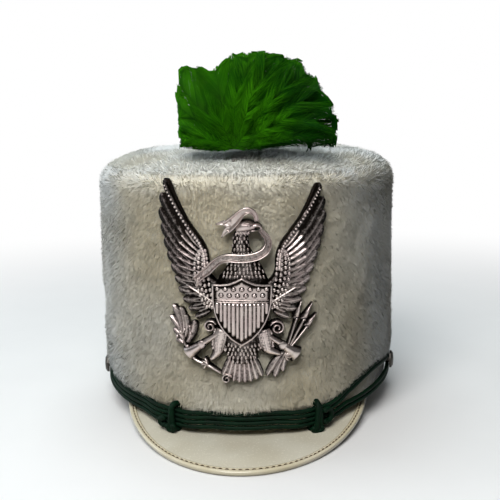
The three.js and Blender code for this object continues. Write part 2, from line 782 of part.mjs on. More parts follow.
const WING_FEATHERS = [
  { rootU: 28.5, rootW: 14.5, tipU: 46.7, tipW: 49.4 },
  { rootU: 29.4, rootW: 13, tipU: 49, tipW: 40.5 },
  { rootU: 30.4, rootW: 10.8, tipU: 49.4, tipW: 31 },
  { rootU: 30.7, rootW: 8.4, tipU: 47.8, tipW: 20.6 },
  { rootU: 30.5, rootW: 6, tipU: 45.4, tipW: 11.2 },
  { rootU: 29.4, rootW: 3.6, tipU: 42.4, tipW: 2.4 },
  { rootU: 27.4, rootW: 1, tipU: 38.8, tipW: -5.6 },
  { rootU: 24.6, rootW: -1.8, tipU: 34.2, tipW: -12.8 },
  { rootU: 20.9, rootW: -4.3, tipU: 27.6, tipW: -17.6 },
];
const WING_COVERTS = [
  { rootU: 26.3, rootW: 12.3, tipU: 38.7, tipW: 19.6 },
  { rootU: 26, rootW: 9, tipU: 39, tipW: 9.8 },
  { rootU: 25.4, rootW: 5, tipU: 36.6, tipW: -0.4 },
  { rootU: 22.4, rootW: 1, tipU: 30.4, tipW: -9 },
];
const LEADING_EDGE = [
  { u: 45.8, w: 47.6, half: 1.5 },
  { u: 41.4, w: 37, half: 1.9 },
  { u: 36.1, w: 29.7, half: 2.2 },
  { u: 30.3, w: 22.8, half: 2.5 },
  { u: 25.4, w: 16.6, half: 2.7 },
  { u: 25.2, w: 9.2, half: 2.6 },
  { u: 20.4, w: 1.2, half: 2.8 },
  { u: 13, w: -3, half: 2.6 },
];

function leaves(table, low, high) {
  return table.map((row) => leaf(
    badgePoint(row.rootU, row.rootW),
    badgePoint(row.tipU, row.tipW),
    (row.width / 100) * BADGE_WIDTH,
    low,
    high,
  ));
}

const BODY_SECTIONS = [
  { w: 24, u: -1, half: 5 },
  { w: 17.4, u: -2.2, half: 5 },
  { w: 9.4, u: -0.5, half: 8.5 },
  { w: 3.6, u: 0, half: 12 },
  { w: -6.5, u: 0, half: 17 },
  { w: -24, u: 0, half: 15.4 },
  { w: -39.1, u: 0, half: 7.5 },
];

// Neck, breast and belly: a low rounded form, hulled section by section.
function bodyGeometries() {
  const sections = BODY_SECTIONS.map((row) => {
    const half = (row.half / 100) * BADGE_WIDTH;
    const middle = badgePoint(row.u, row.w);
    return [-1, -0.7, 0, 0.7, 1].flatMap((share) => {
      const foot = middle.clone().setZ(RELIEF_FOOT);
      foot.x += share * half;
      const top = foot.clone().setZ(lerp(BADGE_BODY, BADGE_PLATE, share ** 2));
      return [foot, top];
    });
  });
  return sections.slice(1).map((points, i) => new ConvexGeometry([...sections[i], ...points]));
}

const STREAMER = [
  { u: 8.2, w: 29.3, half: 1.5 },
  { u: 7.3, w: 32.6, half: 1.9 },
  { u: 4.5, w: 34.6, half: 2.2 },
  { u: 1.3, w: 34.6, half: 2.6 },
  { u: -2, w: 32.4, half: 3.2 },
  { u: -5.4, w: 29, half: 3.8 },
  { u: -9, w: 26.4, half: 4.4 },
];
const SCROLL = [
  { u: 9.3, w: 26, half: 1.8 },
  { u: 13, w: 22.8, half: 2.2 },
  { u: 13.6, w: 18.8, half: 2.4 },
  { u: 12, w: 14.9, half: 2.5 },
  { u: 6.2, w: 12.5, half: 2.6 },
  { u: -6, w: 12, half: 2.7 },
  { u: -15.6, w: 10.5, half: 2.6 },
  { u: -19.8, w: 7, half: 2.6 },
  { u: -24, w: 3.6, half: 2.6 },
];

// A band of even height that follows a table of places, each with its half width in percent.
function ribbon(places, height, side = 1) {
  const points = places.map((place) => badgePoint(side * place.u, place.w));
  const edge = (hand) => points.map((point, i) => {
    const before = points[Math.max(i - 1, 0)];
    const after = points[Math.min(i + 1, points.length - 1)];
    const along = after.clone().sub(before).normalize();
    const half = (places[i].half / 100) * BADGE_WIDTH;
    return new THREE.Vector2(point.x - hand * along.y * half, point.y + hand * along.x * half);
  });
  const outline = new THREE.Shape([...edge(1), ...edge(-1).reverse()]);
  const depth = height - RELIEF_FOOT;
  return new THREE.ExtrudeGeometry(outline, { depth, bevelEnabled: false }).translate(0, 0, RELIEF_FOOT);
}

const BRANCH_LEAVES = [
  { rootU: -36.1, rootW: -27.5, tipU: -42.7, tipW: -12.7, width: 4.6 },
  { rootU: -35.2, rootW: -26.8, tipU: -37.8, tipW: -13.8, width: 4.4 },
  { rootU: -36.1, rootW: -27.5, tipU: -45.2, tipW: -18.1, width: 4.4 },
  { rootU: -33.2, rootW: -31, tipU: -29.4, tipW: -19.4, width: 4.8 },
  { rootU: -35, rootW: -30.5, tipU: -41.8, tipW: -25.4, width: 4.8 },
];
const ARROW_TIPS = [
  { u: 35.4, w: -9.8 },
  { u: 42.5, w: -10.7 },
  { u: 45.7, w: -16.3 },
];
const ARROW_GRIP = { u: 24.5, w: -36 };
const FLETCHING = [
  { rootU: 25.5, rootW: -35, tipU: 13.6, tipW: -47, width: 4.6 },
  { rootU: 25.5, rootW: -35, tipU: 20.4, tipW: -48.2, width: 4.6 },
];
const TAIL_FEATHERS = [
  { rootU: -6, rootW: -37, tipU: -10.4, tipW: -46.6 },
  { rootU: -4, rootW: -36.4, tipU: -7, tipW: -48.8 },
  { rootU: -2, rootW: -36, tipU: -3.2, tipW: -50 },
  { rootU: 0, rootW: -36, tipU: 0.8, tipW: -50.4 },
  { rootU: 2, rootW: -36, tipU: 4.6, tipW: -50 },
  { rootU: 4, rootW: -36.4, tipU: 8.4, tipW: -48.8 },
  { rootU: 6, rootW: -37, tipU: 11.6, tipW: -47 },
];

function arrowGeometries() {
  return ARROW_TIPS.flatMap((place) => {
    const tip = badgePoint(place.u, place.w);
    const grip = badgePoint(ARROW_GRIP.u, ARROW_GRIP.w);
    const neck = tip.clone().lerp(grip, 0.3);
    const shaft = [{ ...ARROW_GRIP, half: 0.9 }, { ...place, half: 0.9 }];
    const head = leaf(neck, tip, 0.05 * BADGE_WIDTH, 0.7 * BADGE_PLATE, 1.2 * BADGE_PLATE);
    return [head, ribbon(shaft.map((row, i) => (i === 0 ? row : {
      u: lerp(row.u, ARROW_GRIP.u, 0.15),
      w: lerp(row.w, ARROW_GRIP.w, 0.15),
      half: row.half,
    })), 0.8 * BADGE_PLATE)];
  });
}

// A crossed long gun: a thin barrel that widens to the stock's flared butt.
const GUN = [
  { u: -32.7, w: 0, half: 1.1 },
  { u: 8, w: -21.3, half: 1.4 },
  { u: 20, w: -27.6, half: 2.1 },
  { u: 33.6, w: -34.7, half: 5 },
];

function knob(u, w, radius, height) {
  const tall = height - RELIEF_FOOT;
  const shape = new THREE.CylinderGeometry(0.6 * radius, radius, tall, 8);
  const place = badgePoint(u, w);
  return shape.rotateX(Math.PI / 2).translate(place.x, place.y, height - tall / 2);
}

// Head, legs, feet and the small round forms, each a percentage of the badge's width across.
const KNOBS = [
  { u: 0.9, w: 26.4, radius: 5.4, height: 5.2 },
  { u: 6.6, w: 27.4, radius: 2.6, height: 4 },
  { u: -18.4, w: -20.7, radius: 4.2, height: 3.4 },
  { u: 18.6, w: -21, radius: 4.6, height: 3.4 },
  { u: -21.8, w: -39.1, radius: 3, height: 3.4 },
  { u: -10.2, w: -46, radius: 3.4, height: 3.4 },
  { u: 24.3, w: -35.8, radius: 3, height: 3.4 },
];
const STEMS = [
  [
    { u: -36.3, w: -26.6, half: 1 },
    { u: -34.6, w: -30.9, half: 1.2 },
    { u: -21.8, w: -39.1, half: 1.2 },
    { u: -10.2, w: -46, half: 1 },
  ],
  [{ u: -11.5, w: -24, half: 5 }, { u: -13.4, w: -33.5, half: 3.4 }, { u: -21.8, w: -39.1, half: 1.4 }],
  [{ u: 11.8, w: -22, half: 5 }, { u: 14.4, w: -31, half: 3.2 }, { u: 24.3, w: -35.8, half: 1.4 }],
];

// Turns the flat relief a little, as it sits on the hat, and bends it to the front of the crown.
function bendToCrown(geometry, lift) {
  const turn = radians(BADGE_TURN);
  return movePoints(geometry, (point) => {
    const x = point.x * Math.cos(turn) - point.y * Math.sin(turn) + BADGE_SIDE_SHIFT;
    const y = point.x * Math.sin(turn) + point.y * Math.cos(turn);
    return crownPoint(angleAtLength(x, FUR_DEPTH), FUR_DEPTH + lift + point.z, BADGE_ORIGIN_HEIGHT + y);
  });
}

// An oval block of the crown with its fur, against which the badge's back is cut.
function crownBlock(offset) {
  const skin = new Skin();
  const low = skin.ring(crownRing(offset, () => 0));
  const high = skin.ring(crownRing(offset, () => 2 * SHELL_HEIGHT));
  skin.fan(low, new THREE.Vector3(0, 0, 0), true);
  skin.band(low, high);
  skin.fan(high, new THREE.Vector3(0, 0, 2 * SHELL_HEIGHT));
  return skin.geometry();
}

function badgeGeometry() {
  const wings = [-1, 1].flatMap((side) => [
    pleats(WING_FEATHERS, side, 0.7 * BADGE_PLATE, 1.1 * BADGE_PLATE),
    pleats(WING_COVERTS, side, 1.2 * BADGE_PLATE, 1.6 * BADGE_PLATE),
    ribbon(LEADING_EDGE, 1.7 * BADGE_PLATE, side),
    ribbon(GUN, 1.9 * BADGE_PLATE, side),
  ]);
  const relief = union([
    ...bodyGeometries(),
    ...wings,
    pleats(TAIL_FEATHERS, 1, BADGE_PLATE, 1.5 * BADGE_PLATE),
    ...KNOBS.map((row) => knob(row.u, row.w, (row.radius / 100) * BADGE_WIDTH, row.height)),
    ...STEMS.map((stem) => ribbon(stem, 1.2 * BADGE_PLATE)),
    ...leaves(BRANCH_LEAVES, 0.7 * BADGE_PLATE, 1.2 * BADGE_PLATE),
    ...leaves(FLETCHING, 0.7 * BADGE_PLATE, 1.2 * BADGE_PLATE),
    ...arrowGeometries(),
    ribbon(STREAMER, 1.4 * BADGE_PLATE),
    ribbon(SCROLL, 1.6 * BADGE_BODY),
  ]);
  const backed = cut(bendToCrown(relief, BADGE_CLEARANCE), [crownBlock(FUR_DEPTH + BADGE_CLEARANCE)]);
  const posts = postHeights.map((height) => {
    return postBar(height, POST_RADIUS, FUR_DEPTH + BADGE_CLEARANCE + 0.5, -(SHELL_WALL + POST_HEAD_SPACE));
  });
  return union([backed, ...posts]);
}

// The shield's edge, from its top middle down its right side, in shares of its half width and height.
const SHIELD_EDGE = [
  { x: 0, y: 0 },
  { x: 0.42, y: -0.055 },
  { x: 0.72, y: -0.08 },
  { x: 1, y: -0.1 },
  { x: 0.99, y: -0.3 },
  { x: 0.9, y: -0.5 },
  { x: 0.7, y: -0.7 },
  { x: 0.4, y: -0.87 },
];

function shieldGeometry() {
  const right = SHIELD_EDGE.map((row) => [row.x * SHIELD_HALF_WIDTH, row.y * SHIELD_HEIGHT]);
  const left = right.slice(1).reverse().map(([x, y]) => [-x, y]);
  const edge = [...right, [0, -SHIELD_HEIGHT], ...left].reverse();
  const skin = new Skin();
  const ringAt = (scale, z) => skin.ring(edge.map(([x, y]) => {
    const middle = -0.42 * SHIELD_HEIGHT;
    return new THREE.Vector3(x * scale, middle + (y - middle) * scale, z);
  }));
  const back = ringAt(1, 0);
  const rim = ringAt(1, SHIELD_PLATE);
  const field = ringAt(0.9, SHIELD_PLATE + 0.5 * SHIELD_DOME);
  const inner = ringAt(0.5, SHIELD_PLATE + 0.9 * SHIELD_DOME);
  skin.fan(back, new THREE.Vector3(0, -0.42 * SHIELD_HEIGHT, 0), true);
  skin.band(back, rim);
  skin.band(rim, field);
  skin.band(field, inner);
  skin.fan(inner, new THREE.Vector3(0, -0.42 * SHIELD_HEIGHT, SHIELD_PLATE + SHIELD_DOME));
  return bendToCrown(skin.geometry(), BADGE_CLEARANCE + 1.9 * BADGE_PLATE + 3 * GAP);
}

// A plain ring nut inside the shell, which holds one of the badge's posts.
function nut(name, height) {
  const bore = POST_RADIUS + GAP;
  const outline = [
    new THREE.Vector2(bore, 0),
    new THREE.Vector2(NUT_RADIUS, 0),
    new THREE.Vector2(NUT_RADIUS, NUT_THICKNESS),
    new THREE.Vector2(bore, NUT_THICKNESS),
    new THREE.Vector2(bore, 0),
  ];
  const mesh = piece(name, cleaned(new THREE.LatheGeometry(outline, 10)), SILVER);
  mesh.position.set(0, -(HEAD_HALF_LENGTH - 2 * GAP), height);
  return mesh;
}

// Plume: the head and stem stand at the front of the deck.
const plumeFoot = SHELL_HEIGHT + TOP_FUR_DEPTH - 2 * LOCK_HEIGHT;

function plumeHeadGeometry(grow = 0) {
  const ball = new THREE.SphereGeometry(PLUME_HEAD_RADIUS + grow, 12, 8);
  const head = ball.rotateX(Math.PI / 2).scale(1.15, 0.95, 0.9);
  return head.translate(stemPlace.x, stemPlace.y, plumeFoot + 0.9 * PLUME_HEAD_RADIUS);
}

// Feather tips as shares of PLUME_HEIGHT from the plume's foot. The width is a share too, and the bow
// says how far up the feather's middle is lifted off the straight line to its tip.
const PLUME_FEATHERS = [
  { x: -0.46, y: 0.06, z: 0.84, width: 0.36, bow: 0.02 },
  { x: -0.52, y: 0.22, z: 0.5, width: 0.42, bow: 0.1 },
  { x: -0.5, y: -0.12, z: 0.22, width: 0.36, bow: 0.14 },
  { x: -0.2, y: 0.38, z: 0.8, width: 0.44, bow: 0.05 },
  { x: -0.04, y: 0.02, z: 0.97, width: 0.44, bow: 0.02 },
  { x: 0.26, y: 0.2, z: 1, width: 0.48, bow: 0.04 },
  { x: 0.3, y: 0.6, z: 0.78, width: 0.46, bow: 0.12 },
  { x: 0.58, y: 0, z: 0.93, width: 0.48, bow: 0.12 },
  { x: 0.86, y: 0.24, z: 0.7, width: 0.48, bow: 0.22 },
  { x: 1, y: -0.02, z: 0.42, width: 0.44, bow: 0.3 },
  { x: 1.02, y: 0.2, z: 0.16, width: 0.38, bow: 0.34 },
  { x: 0.36, y: -0.34, z: 0.66, width: 0.44, bow: 0.1 },
  { x: 0, y: -0.36, z: 0.48, width: 0.4, bow: 0.12 },
  { x: 0.64, y: -0.28, z: 0.4, width: 0.38, bow: 0.2 },
];
const BLADE_SECTIONS = [
  { share: 0.06, width: 0.35 },
  { share: 0.35, width: 0.85 },
  { share: 0.7, width: 1 },
  { share: 0.92, width: 0.6 },
];

function bladeGeometry(row) {
  const foot = new THREE.Vector3(stemPlace.x, stemPlace.y, plumeFoot + 0.7 * PLUME_HEAD_RADIUS);
  const base = new THREE.Vector3(stemPlace.x, stemPlace.y, plumeFoot);
  const tip = base.clone().addScaledVector(new THREE.Vector3(row.x, row.y, row.z), PLUME_HEIGHT);
  const middle = foot.clone().lerp(tip, 0.5);
  middle.z += row.bow * PLUME_HEIGHT;
  const curve = new THREE.QuadraticBezierCurve3(foot, middle, tip);
  const half = (row.width * PLUME_HEIGHT) / 2;
  const skin = new Skin();
  const sections = BLADE_SECTIONS.map((section) => {
    const centre = curve.getPoint(section.share);
    const along = curve.getTangent(section.share);
    const outward = new THREE.Vector3(0, -1, 0);
    const across = new THREE.Vector3().crossVectors(along, outward).normalize();
    const face = new THREE.Vector3().crossVectors(across, along).normalize();
    const reach = half * section.width;
    return skin.ring([
      centre.clone().addScaledVector(across, -reach),
      centre.clone().addScaledVector(face, BLADE_THICKNESS / 2),
      centre.clone().addScaledVector(across, reach),
      centre.clone().addScaledVector(face, -BLADE_THICKNESS / 2),
    ]);
  });
  sections.slice(1).forEach((section, i) => skin.band(sections[i], section));
  skin.fan(sections[0], foot, true);
  skin.fan(sections[sections.length - 1], tip);
  return facingOut(skin.geometry());
}

// Turns every face of a closed geometry round if its enclosed volume comes out negative.
function facingOut(geometry) {
  const at = (i) => new THREE.Vector3().fromBufferAttribute(geometry.attributes.position, i);
  const index = [...geometry.index.array];
  let volume = 0;
  for (let i = 0; i < index.length; i += 3) {
    const [a, b, c] = [at(index[i]), at(index[i + 1]), at(index[i + 2])];
    volume += a.dot(b.cross(c));
  }
  if (volume < 0) {
    geometry.setIndex(index.reverse());
  }
  return geometry;
}

function plumeGeometry() {
  return union([plumeHeadGeometry(), ...PLUME_FEATHERS.map(bladeGeometry)]);
}

function stemGeometry() {
  const deckUnder = SHELL_HEIGHT - SHELL_WALL;
  const collarTop = deckUnder - GAP;
  const collarLow = collarTop - STEM_COLLAR_THICKNESS;
  const outline = [
    new THREE.Vector2(0, collarLow - STEM_TAIL),
    new THREE.Vector2(STEM_RADIUS, collarLow - STEM_TAIL),
    new THREE.Vector2(STEM_RADIUS, collarLow),
    new THREE.Vector2(STEM_COLLAR_RADIUS, collarLow),
    new THREE.Vector2(STEM_COLLAR_RADIUS, collarTop),
    new THREE.Vector2(STEM_RADIUS, collarTop),
    new THREE.Vector2(STEM_RADIUS, plumeFoot - GAP),
    new THREE.Vector2(0, plumeFoot - GAP),
  ];
  const stem = new THREE.LatheGeometry(outline, 12).rotateX(Math.PI / 2);
  return cleaned(stem.translate(stemPlace.x, stemPlace.y, 0));
}

const hat = new THREE.Group();
hat.add(
  piece('crown_shell', shellGeometry(), SHELL),
  piece('side_fur', sideFurGeometry(), FUR),
  piece('top_fur', topFurGeometry(), FUR),
  piece('peak', peakGeometry(), VINYL),
  piece('peak_binding', bindingGeometry(), VINYL),
  piece('cord_inner_loop', cleaned(cordLoopGeometry(0)), CORD),
  piece('cord_outer_loop', cleaned(cordLoopGeometry(1)), CORD),
  piece('knot_left', knotGeometry(-1), CORD),
  piece('knot_right', knotGeometry(1), CORD),
  button('side_button_left', -1),
  button('side_button_right', 1),
  piece('eagle_badge', badgeGeometry(), SILVER),
  piece('badge_shield', shieldGeometry(), SILVER),
  nut('badge_nut_upper', postHeights[0]),
  nut('badge_nut_lower', postHeights[1]),
  piece('plume', plumeGeometry(), FEATHER),
  piece('plume_stem', stemGeometry(), SILVER),
);

// The hat rests on the back of its rim and on the front of the peak's binding, so it leans back.
const binding = hat.getObjectByName('peak_binding').geometry.attributes.position;
let tilt = 0;
for (let i = 0; i < binding.count; i += 1) {
  tilt = Math.max(tilt, Math.atan2(-binding.getZ(i), backContact - binding.getY(i)));
}
hat.rotation.x = -tilt;

// The origin is the middle of the whole hat's outline, on the surface that it stands on.
const model = new THREE.Group();
model.add(hat);
model.updateMatrixWorld(true);
const bounds = new THREE.Box3().setFromObject(model, true);
hat.position.set(
  -(bounds.min.x + bounds.max.x) / 2,
  -(bounds.min.y + bounds.max.y) / 2,
  -bounds.min.z,
);

export default model;
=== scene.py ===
# %% [markdown]
# # A marching band hat
# A tall oval shell wrapped in cream sheepskin, with a stitched vinyl peak, a green cord with two slide
# knots, a cast silver eagle with its own shield, and a green feather plume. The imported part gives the
# sizes. Each cell below adds one layer of the real hat over it.

import math

import bpy
import numpy as np
from mathutils import Matrix, Vector, kdtree


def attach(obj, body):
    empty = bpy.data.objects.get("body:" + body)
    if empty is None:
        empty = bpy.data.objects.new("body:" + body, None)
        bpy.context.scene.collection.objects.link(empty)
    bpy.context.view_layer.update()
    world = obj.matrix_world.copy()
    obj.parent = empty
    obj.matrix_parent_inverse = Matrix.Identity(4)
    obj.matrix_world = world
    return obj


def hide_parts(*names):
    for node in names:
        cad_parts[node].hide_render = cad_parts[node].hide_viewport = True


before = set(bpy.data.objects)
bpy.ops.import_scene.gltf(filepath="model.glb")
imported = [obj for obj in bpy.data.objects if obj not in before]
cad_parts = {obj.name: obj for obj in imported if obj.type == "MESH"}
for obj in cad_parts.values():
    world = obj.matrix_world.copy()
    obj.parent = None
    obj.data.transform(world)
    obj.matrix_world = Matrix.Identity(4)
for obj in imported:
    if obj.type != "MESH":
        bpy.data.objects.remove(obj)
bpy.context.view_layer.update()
print("frame holds", len(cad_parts), "nodes")

# %% [markdown]
# ## The oval of the shell
# The hat is blocked over an oval form, so nearly everything on it follows one curve. Lengths here are in
# millimetres in the hat's own upright frame. The hat leans back a little as it rests, and `to_row` adds that.

# %%
# The shell's oval and its rim
HALF_WIDTH, HALF_LENGTH = 85.0, 99.0
SHELL_HEIGHT, RIM_SIDE_RISE = 154.5, 10.0
HAT_LEAN, HAT_PLACE = -0.0173512, np.array([0.0, 20.823227, 1.71768])


def to_row(points):
    x, y, z = np.moveaxis(np.asarray(points, float), -1, 0)
    c, s = math.cos(HAT_LEAN), math.sin(HAT_LEAN)
    return (np.stack([x, c * y - s * z, s * y + c * z], -1) + HAT_PLACE) / 1000


def unit(vectors):
    return vectors / np.maximum(np.linalg.norm(vectors, axis=-1, keepdims=True), 1e-9)


def crown(angle, beyond, height):
    angle, beyond, height = np.broadcast_arrays(angle, beyond, height)
    x, y = (HALF_WIDTH + beyond) * np.sin(angle), -(HALF_LENGTH + beyond) * np.cos(angle)
    return np.stack([x, y, height], -1)


def crown_normal(angle):
    angle = np.asarray(angle, float)
    return unit(np.stack([np.sin(angle) / HALF_WIDTH, -np.cos(angle) / HALF_LENGTH, 0 * angle], -1))


def above_rim(angle, height):
    return height + RIM_SIDE_RISE * np.sin(angle) ** 2 * (1 - np.maximum(height, 0) / SHELL_HEIGHT)


def smooth(value, low, high):
    share = np.clip((value - low) / (high - low), 0, 1)
    return share * share * (3 - 2 * share)


def lerp(low, high, share):
    return low + (high - low) * share


# %% [markdown]
# ## Uneven things
# Hair, feathers and castings are never quite regular. This lattice noise gives every point of space a
# steady value between -1 and 1, so the same hat comes out on every run.

# %%
# Lattice noise
def noise(points, size, seed=0):
    cell = np.asarray(points, float) / size + 31.7 * seed
    low = np.floor(cell).astype(np.int64)
    share = cell - low
    share = share * share * (3 - 2 * share)
    total = np.zeros(cell.shape[:-1])
    for corner in np.ndindex(2, 2, 2):
        at = (low + corner) @ np.array([73856093, 19349663, 83492791]) + 97 * seed
        at = (at ^ (at >> 13)) * 1274126177 & 0x7FFFFFFF
        weight = np.prod(np.where(corner, share, 1 - share), axis=-1)
        total += weight * ((at ^ (at >> 15)) % 2048 / 1023.5 - 1)
    return total


# %% [markdown]
# ## Meshes from arrays
# A piece is gathered from many small parts. Each part brings its points, its faces and a few marks, such
# as how deep in the pile a point lies, which the materials read later.

# %%
# The piece builder
class Gather:
    def __init__(self):
        self.points, self.faces, self.marks, self.normals, self.count = [], {3: [], 4: []}, {}, [], 0

    def add(self, points, quads=(), tris=(), normals=None, **marks):
        points = np.asarray(points, float).reshape(-1, 3)
        for size, faces in ((4, quads), (3, tris)):
            if len(faces):
                self.faces[size].append(np.asarray(faces, np.int64).reshape(-1, size) + self.count)
        for name, mark in marks.items():
            self.marks.setdefault(name, []).append(np.broadcast_to(np.asarray(mark, float), len(points)))
        if normals is not None:
            self.normals.append(np.asarray(normals, float).reshape(-1, 3))
        self.points.append(points)
        self.count += len(points)

    def build(self, name, replaces=()):
        mesh = bpy.data.meshes.new(name)
        points = to_row(np.concatenate(self.points))
        mesh.vertices.add(len(points))
        mesh.vertices.foreach_set("co", points.ravel())
        groups = [(size, np.concatenate(found)) for size, found in self.faces.items() if found]
        mesh.loops.add(sum(found.size for _, found in groups))
        mesh.loops.foreach_set("vertex_index", np.concatenate([found.ravel() for _, found in groups]))
        totals = np.concatenate([np.full(len(found), size) for size, found in groups])
        mesh.polygons.add(len(totals))
        mesh.polygons.foreach_set("loop_start", np.concatenate([[0], np.cumsum(totals)[:-1]]))
        mesh.polygons.foreach_set("use_smooth", np.full(len(totals), True))
        mesh.update(calc_edges=True)
        for mark, values in self.marks.items():
            stored = mesh.attributes.new(mark, "FLOAT", "POINT")
            stored.data.foreach_set("value", np.concatenate(values).astype(np.float32))
        if self.normals:
            mesh.normals_split_custom_set_from_vertices(turned(np.concatenate(self.normals)))
        made = bpy.data.objects.new(name, mesh)
        bpy.context.scene.collection.objects.link(made)
        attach(made, "root")
        if replaces:
            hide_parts(*replaces)
        print(f"{name}: {sum(size - 2 for size in totals)} triangles")
        return made


def turned(vectors):
    x, y, z = np.moveaxis(vectors, -1, 0)
    c, s = math.cos(HAT_LEAN), math.sin(HAT_LEAN)
    return np.stack([x, c * y - s * z, s * y + c * z], -1)


def grid_faces(rows, columns, wrap_rows=False, wrap_columns=False):
    down = np.arange(rows if wrap_rows else rows - 1)[:, None]
    across = np.arange(columns if wrap_columns else columns - 1)[None, :]
    a = down * columns + across
    b = down * columns + (across + 1) % columns
    c = (down + 1) % rows * columns + (across + 1) % columns
    d = (down + 1) % rows * columns + across
    return np.stack([a, b, c, d], -1).reshape(-1, 4)


def fan_faces(first, count, tip):
    """Triangles that close a ring of count points, the first one given, on the point tip."""
    ring = np.arange(count)
    return np.stack([first + ring, first + (ring + 1) % count, np.full(count, tip)], -1)


def tube(gather, path, radius, sides=8, out=None, closed=False, **marks):
    """A round bar along a path. The radius may vary along it; open ends close on a point."""
    path = np.asarray(path, float)
    if closed:
        along = unit(np.roll(path, -1, 0) - np.roll(path, 1, 0))
    else:
        along = unit(np.gradient(path, axis=0))
    out = np.broadcast_to([0.0, 0.0, 1.0] if out is None else out, path.shape)
    across = unit(np.cross(along, out))
    lift = np.cross(across, along)
    turn = np.arange(sides) / sides * 2 * math.pi
    reach = np.broadcast_to(radius, (len(path), sides)) if np.ndim(radius) != 1 else np.asarray(radius)[:, None]
    ring = lift[:, None] * np.cos(turn)[:, None] + across[:, None] * np.sin(turn)[:, None]
    points = path[:, None] + ring * (reach * np.ones((len(path), sides)))[..., None]
    quads = grid_faces(len(path), sides, wrap_rows=closed, wrap_columns=True)
    gather.add(points, quads, **marks)
    if not closed:
        for end, flip in ((0, -1), (len(path) - 1, 1)):
            fan = fan_faces(0, sides, sides)[:, ::flip]
            gather.add(np.concatenate([points[end], path[end][None]]), tris=fan, **marks)

# %% [markdown]
# ## Material nodes as sums
# A node socket is wrapped so that Python's own signs join it to others. Every other node comes from one
# method that takes its type, its settings and what goes into its sockets.

# %%
# The socket wrapper and the graph of one material
class Value:
    def __init__(self, graph, socket):
        self.graph, self.socket = graph, socket

    def math(self, operation, *others):
        return self.graph.node("ShaderNodeMath", {"operation": operation}, dict(enumerate((self, *others))))

    def __add__(self, other):
        return self.math("ADD", other)

    def __sub__(self, other):
        return self.math("SUBTRACT", other)

    def __mul__(self, other):
        return self.math("MULTIPLY", other)

    def __rsub__(self, other):
        return self.graph.node("ShaderNodeMath", {"operation": "SUBTRACT"}, {0: other, 1: self})

    __radd__, __rmul__ = __add__, __mul__

    def span(self, low, high, out_low=0.0, out_high=1.0):
        ends = {"From Min": low, "From Max": high, "To Min": out_low, "To Max": out_high}
        settings = {"interpolation_type": "SMOOTHSTEP"}
        return self.graph.node("ShaderNodeMapRange", settings, {"Value": self, **ends})


class Graph:
    def __init__(self, name):
        self.material = bpy.data.materials.new(name)
        self.material.use_nodes = True
        self.tree = self.material.node_tree
        self.tree.nodes.clear()
        self.place = self.node("ShaderNodeTexCoord", {}, {}, "Object")

    def node(self, kind, settings, inputs, output=0):
        made = self.tree.nodes.new(kind)
        for key, value in settings.items():
            setattr(made, key, value)
        for key, value in inputs.items():
            if isinstance(value, Value):
                self.tree.links.new(value.socket, made.inputs[key])
            else:
                made.inputs[key].default_value = value
        return Value(self, made.outputs[output])

    def mark(self, name):
        return self.node("ShaderNodeAttribute", {"attribute_name": name}, {}, "Fac")

    def noise(self, size_mm, detail=2.0, roughness=0.5, stretch=None):
        where = self.place
        if stretch:
            where = self.node("ShaderNodeVectorMath", {"operation": "MULTIPLY"}, {0: where, 1: stretch})
        inputs = {"Vector": where, "Scale": 1000 / size_mm, "Detail": detail, "Roughness": roughness}
        return self.node("ShaderNodeTexNoise", {}, inputs, "Fac")

    def mix(self, share, first, second):
        made = self.tree.nodes.new("ShaderNodeMix")
        made.data_type = "RGBA"
        for index, value in ((0, share), (6, first), (7, second)):
            if isinstance(value, Value):
                self.tree.links.new(value.socket, made.inputs[index])
            else:
                made.inputs[index].default_value = (*value, 1.0) if isinstance(value, tuple) else value
        return Value(self, made.outputs[2])

    def bump(self, height, distance_mm, strength=1.0):
        inputs = {"Height": height, "Distance": distance_mm / 1000, "Strength": strength}
        return self.node("ShaderNodeBump", {}, inputs)

    def finish(self, inputs):
        shader = self.node("ShaderNodeBsdfPrincipled", {}, inputs)
        self.end(shader)
        return self.material

    def end(self, shader):
        last = self.tree.nodes.new("ShaderNodeOutputMaterial")
        self.tree.links.new(shader.socket, last.inputs["Surface"])


def colour(code):
    parts = [int(code[i : i + 2], 16) / 255 for i in (0, 2, 4)]
    return tuple(part / 12.92 if part < 0.04045 else ((part + 0.055) / 1.055) ** 2.4 for part in parts)


# %% [markdown]
# ## Camera, floor and light
# The hat was photographed from a little above its deck, about 60 cm away. It stands on a plain floor,
# which looks pale and mirrors pale in the metal, but throws little light back on the wool. A soft lamp
# hangs high in front, left of the camera, so the right side falls into shade. A weak one edges the far
# left, and a cool one overhead whitens the deck.

# %%
# The camera
CAMERA_PLACE = Vector((0.0234166, -0.5914775, 0.2074822))
CAMERA_HEADING, CAMERA_PITCH, CAMERA_ROLL = 2.1937, -11.1355, -0.8685
LENS_MM, SENSOR_MM, SHIFT_X, SHIFT_Y = 65.16, 36.0, 0.004, 0.028
camera = bpy.data.objects.new("camera", bpy.data.cameras.new("camera"))
bpy.context.scene.collection.objects.link(camera)
camera.data.lens, camera.data.sensor_width = LENS_MM, SENSOR_MM
camera.data.shift_x, camera.data.shift_y = SHIFT_X, SHIFT_Y
camera.data.clip_start = 0.01
aim = Matrix.Rotation(math.radians(CAMERA_HEADING), 4, "Z")
aim = aim @ Matrix.Rotation(math.radians(90 + CAMERA_PITCH), 4, "X")
aim = aim @ Matrix.Rotation(math.radians(CAMERA_ROLL), 4, "Z")
camera.matrix_world = Matrix.Translation(CAMERA_PLACE) @ aim
bpy.context.scene.camera = camera
bpy.context.scene.view_settings.view_transform = "Standard"

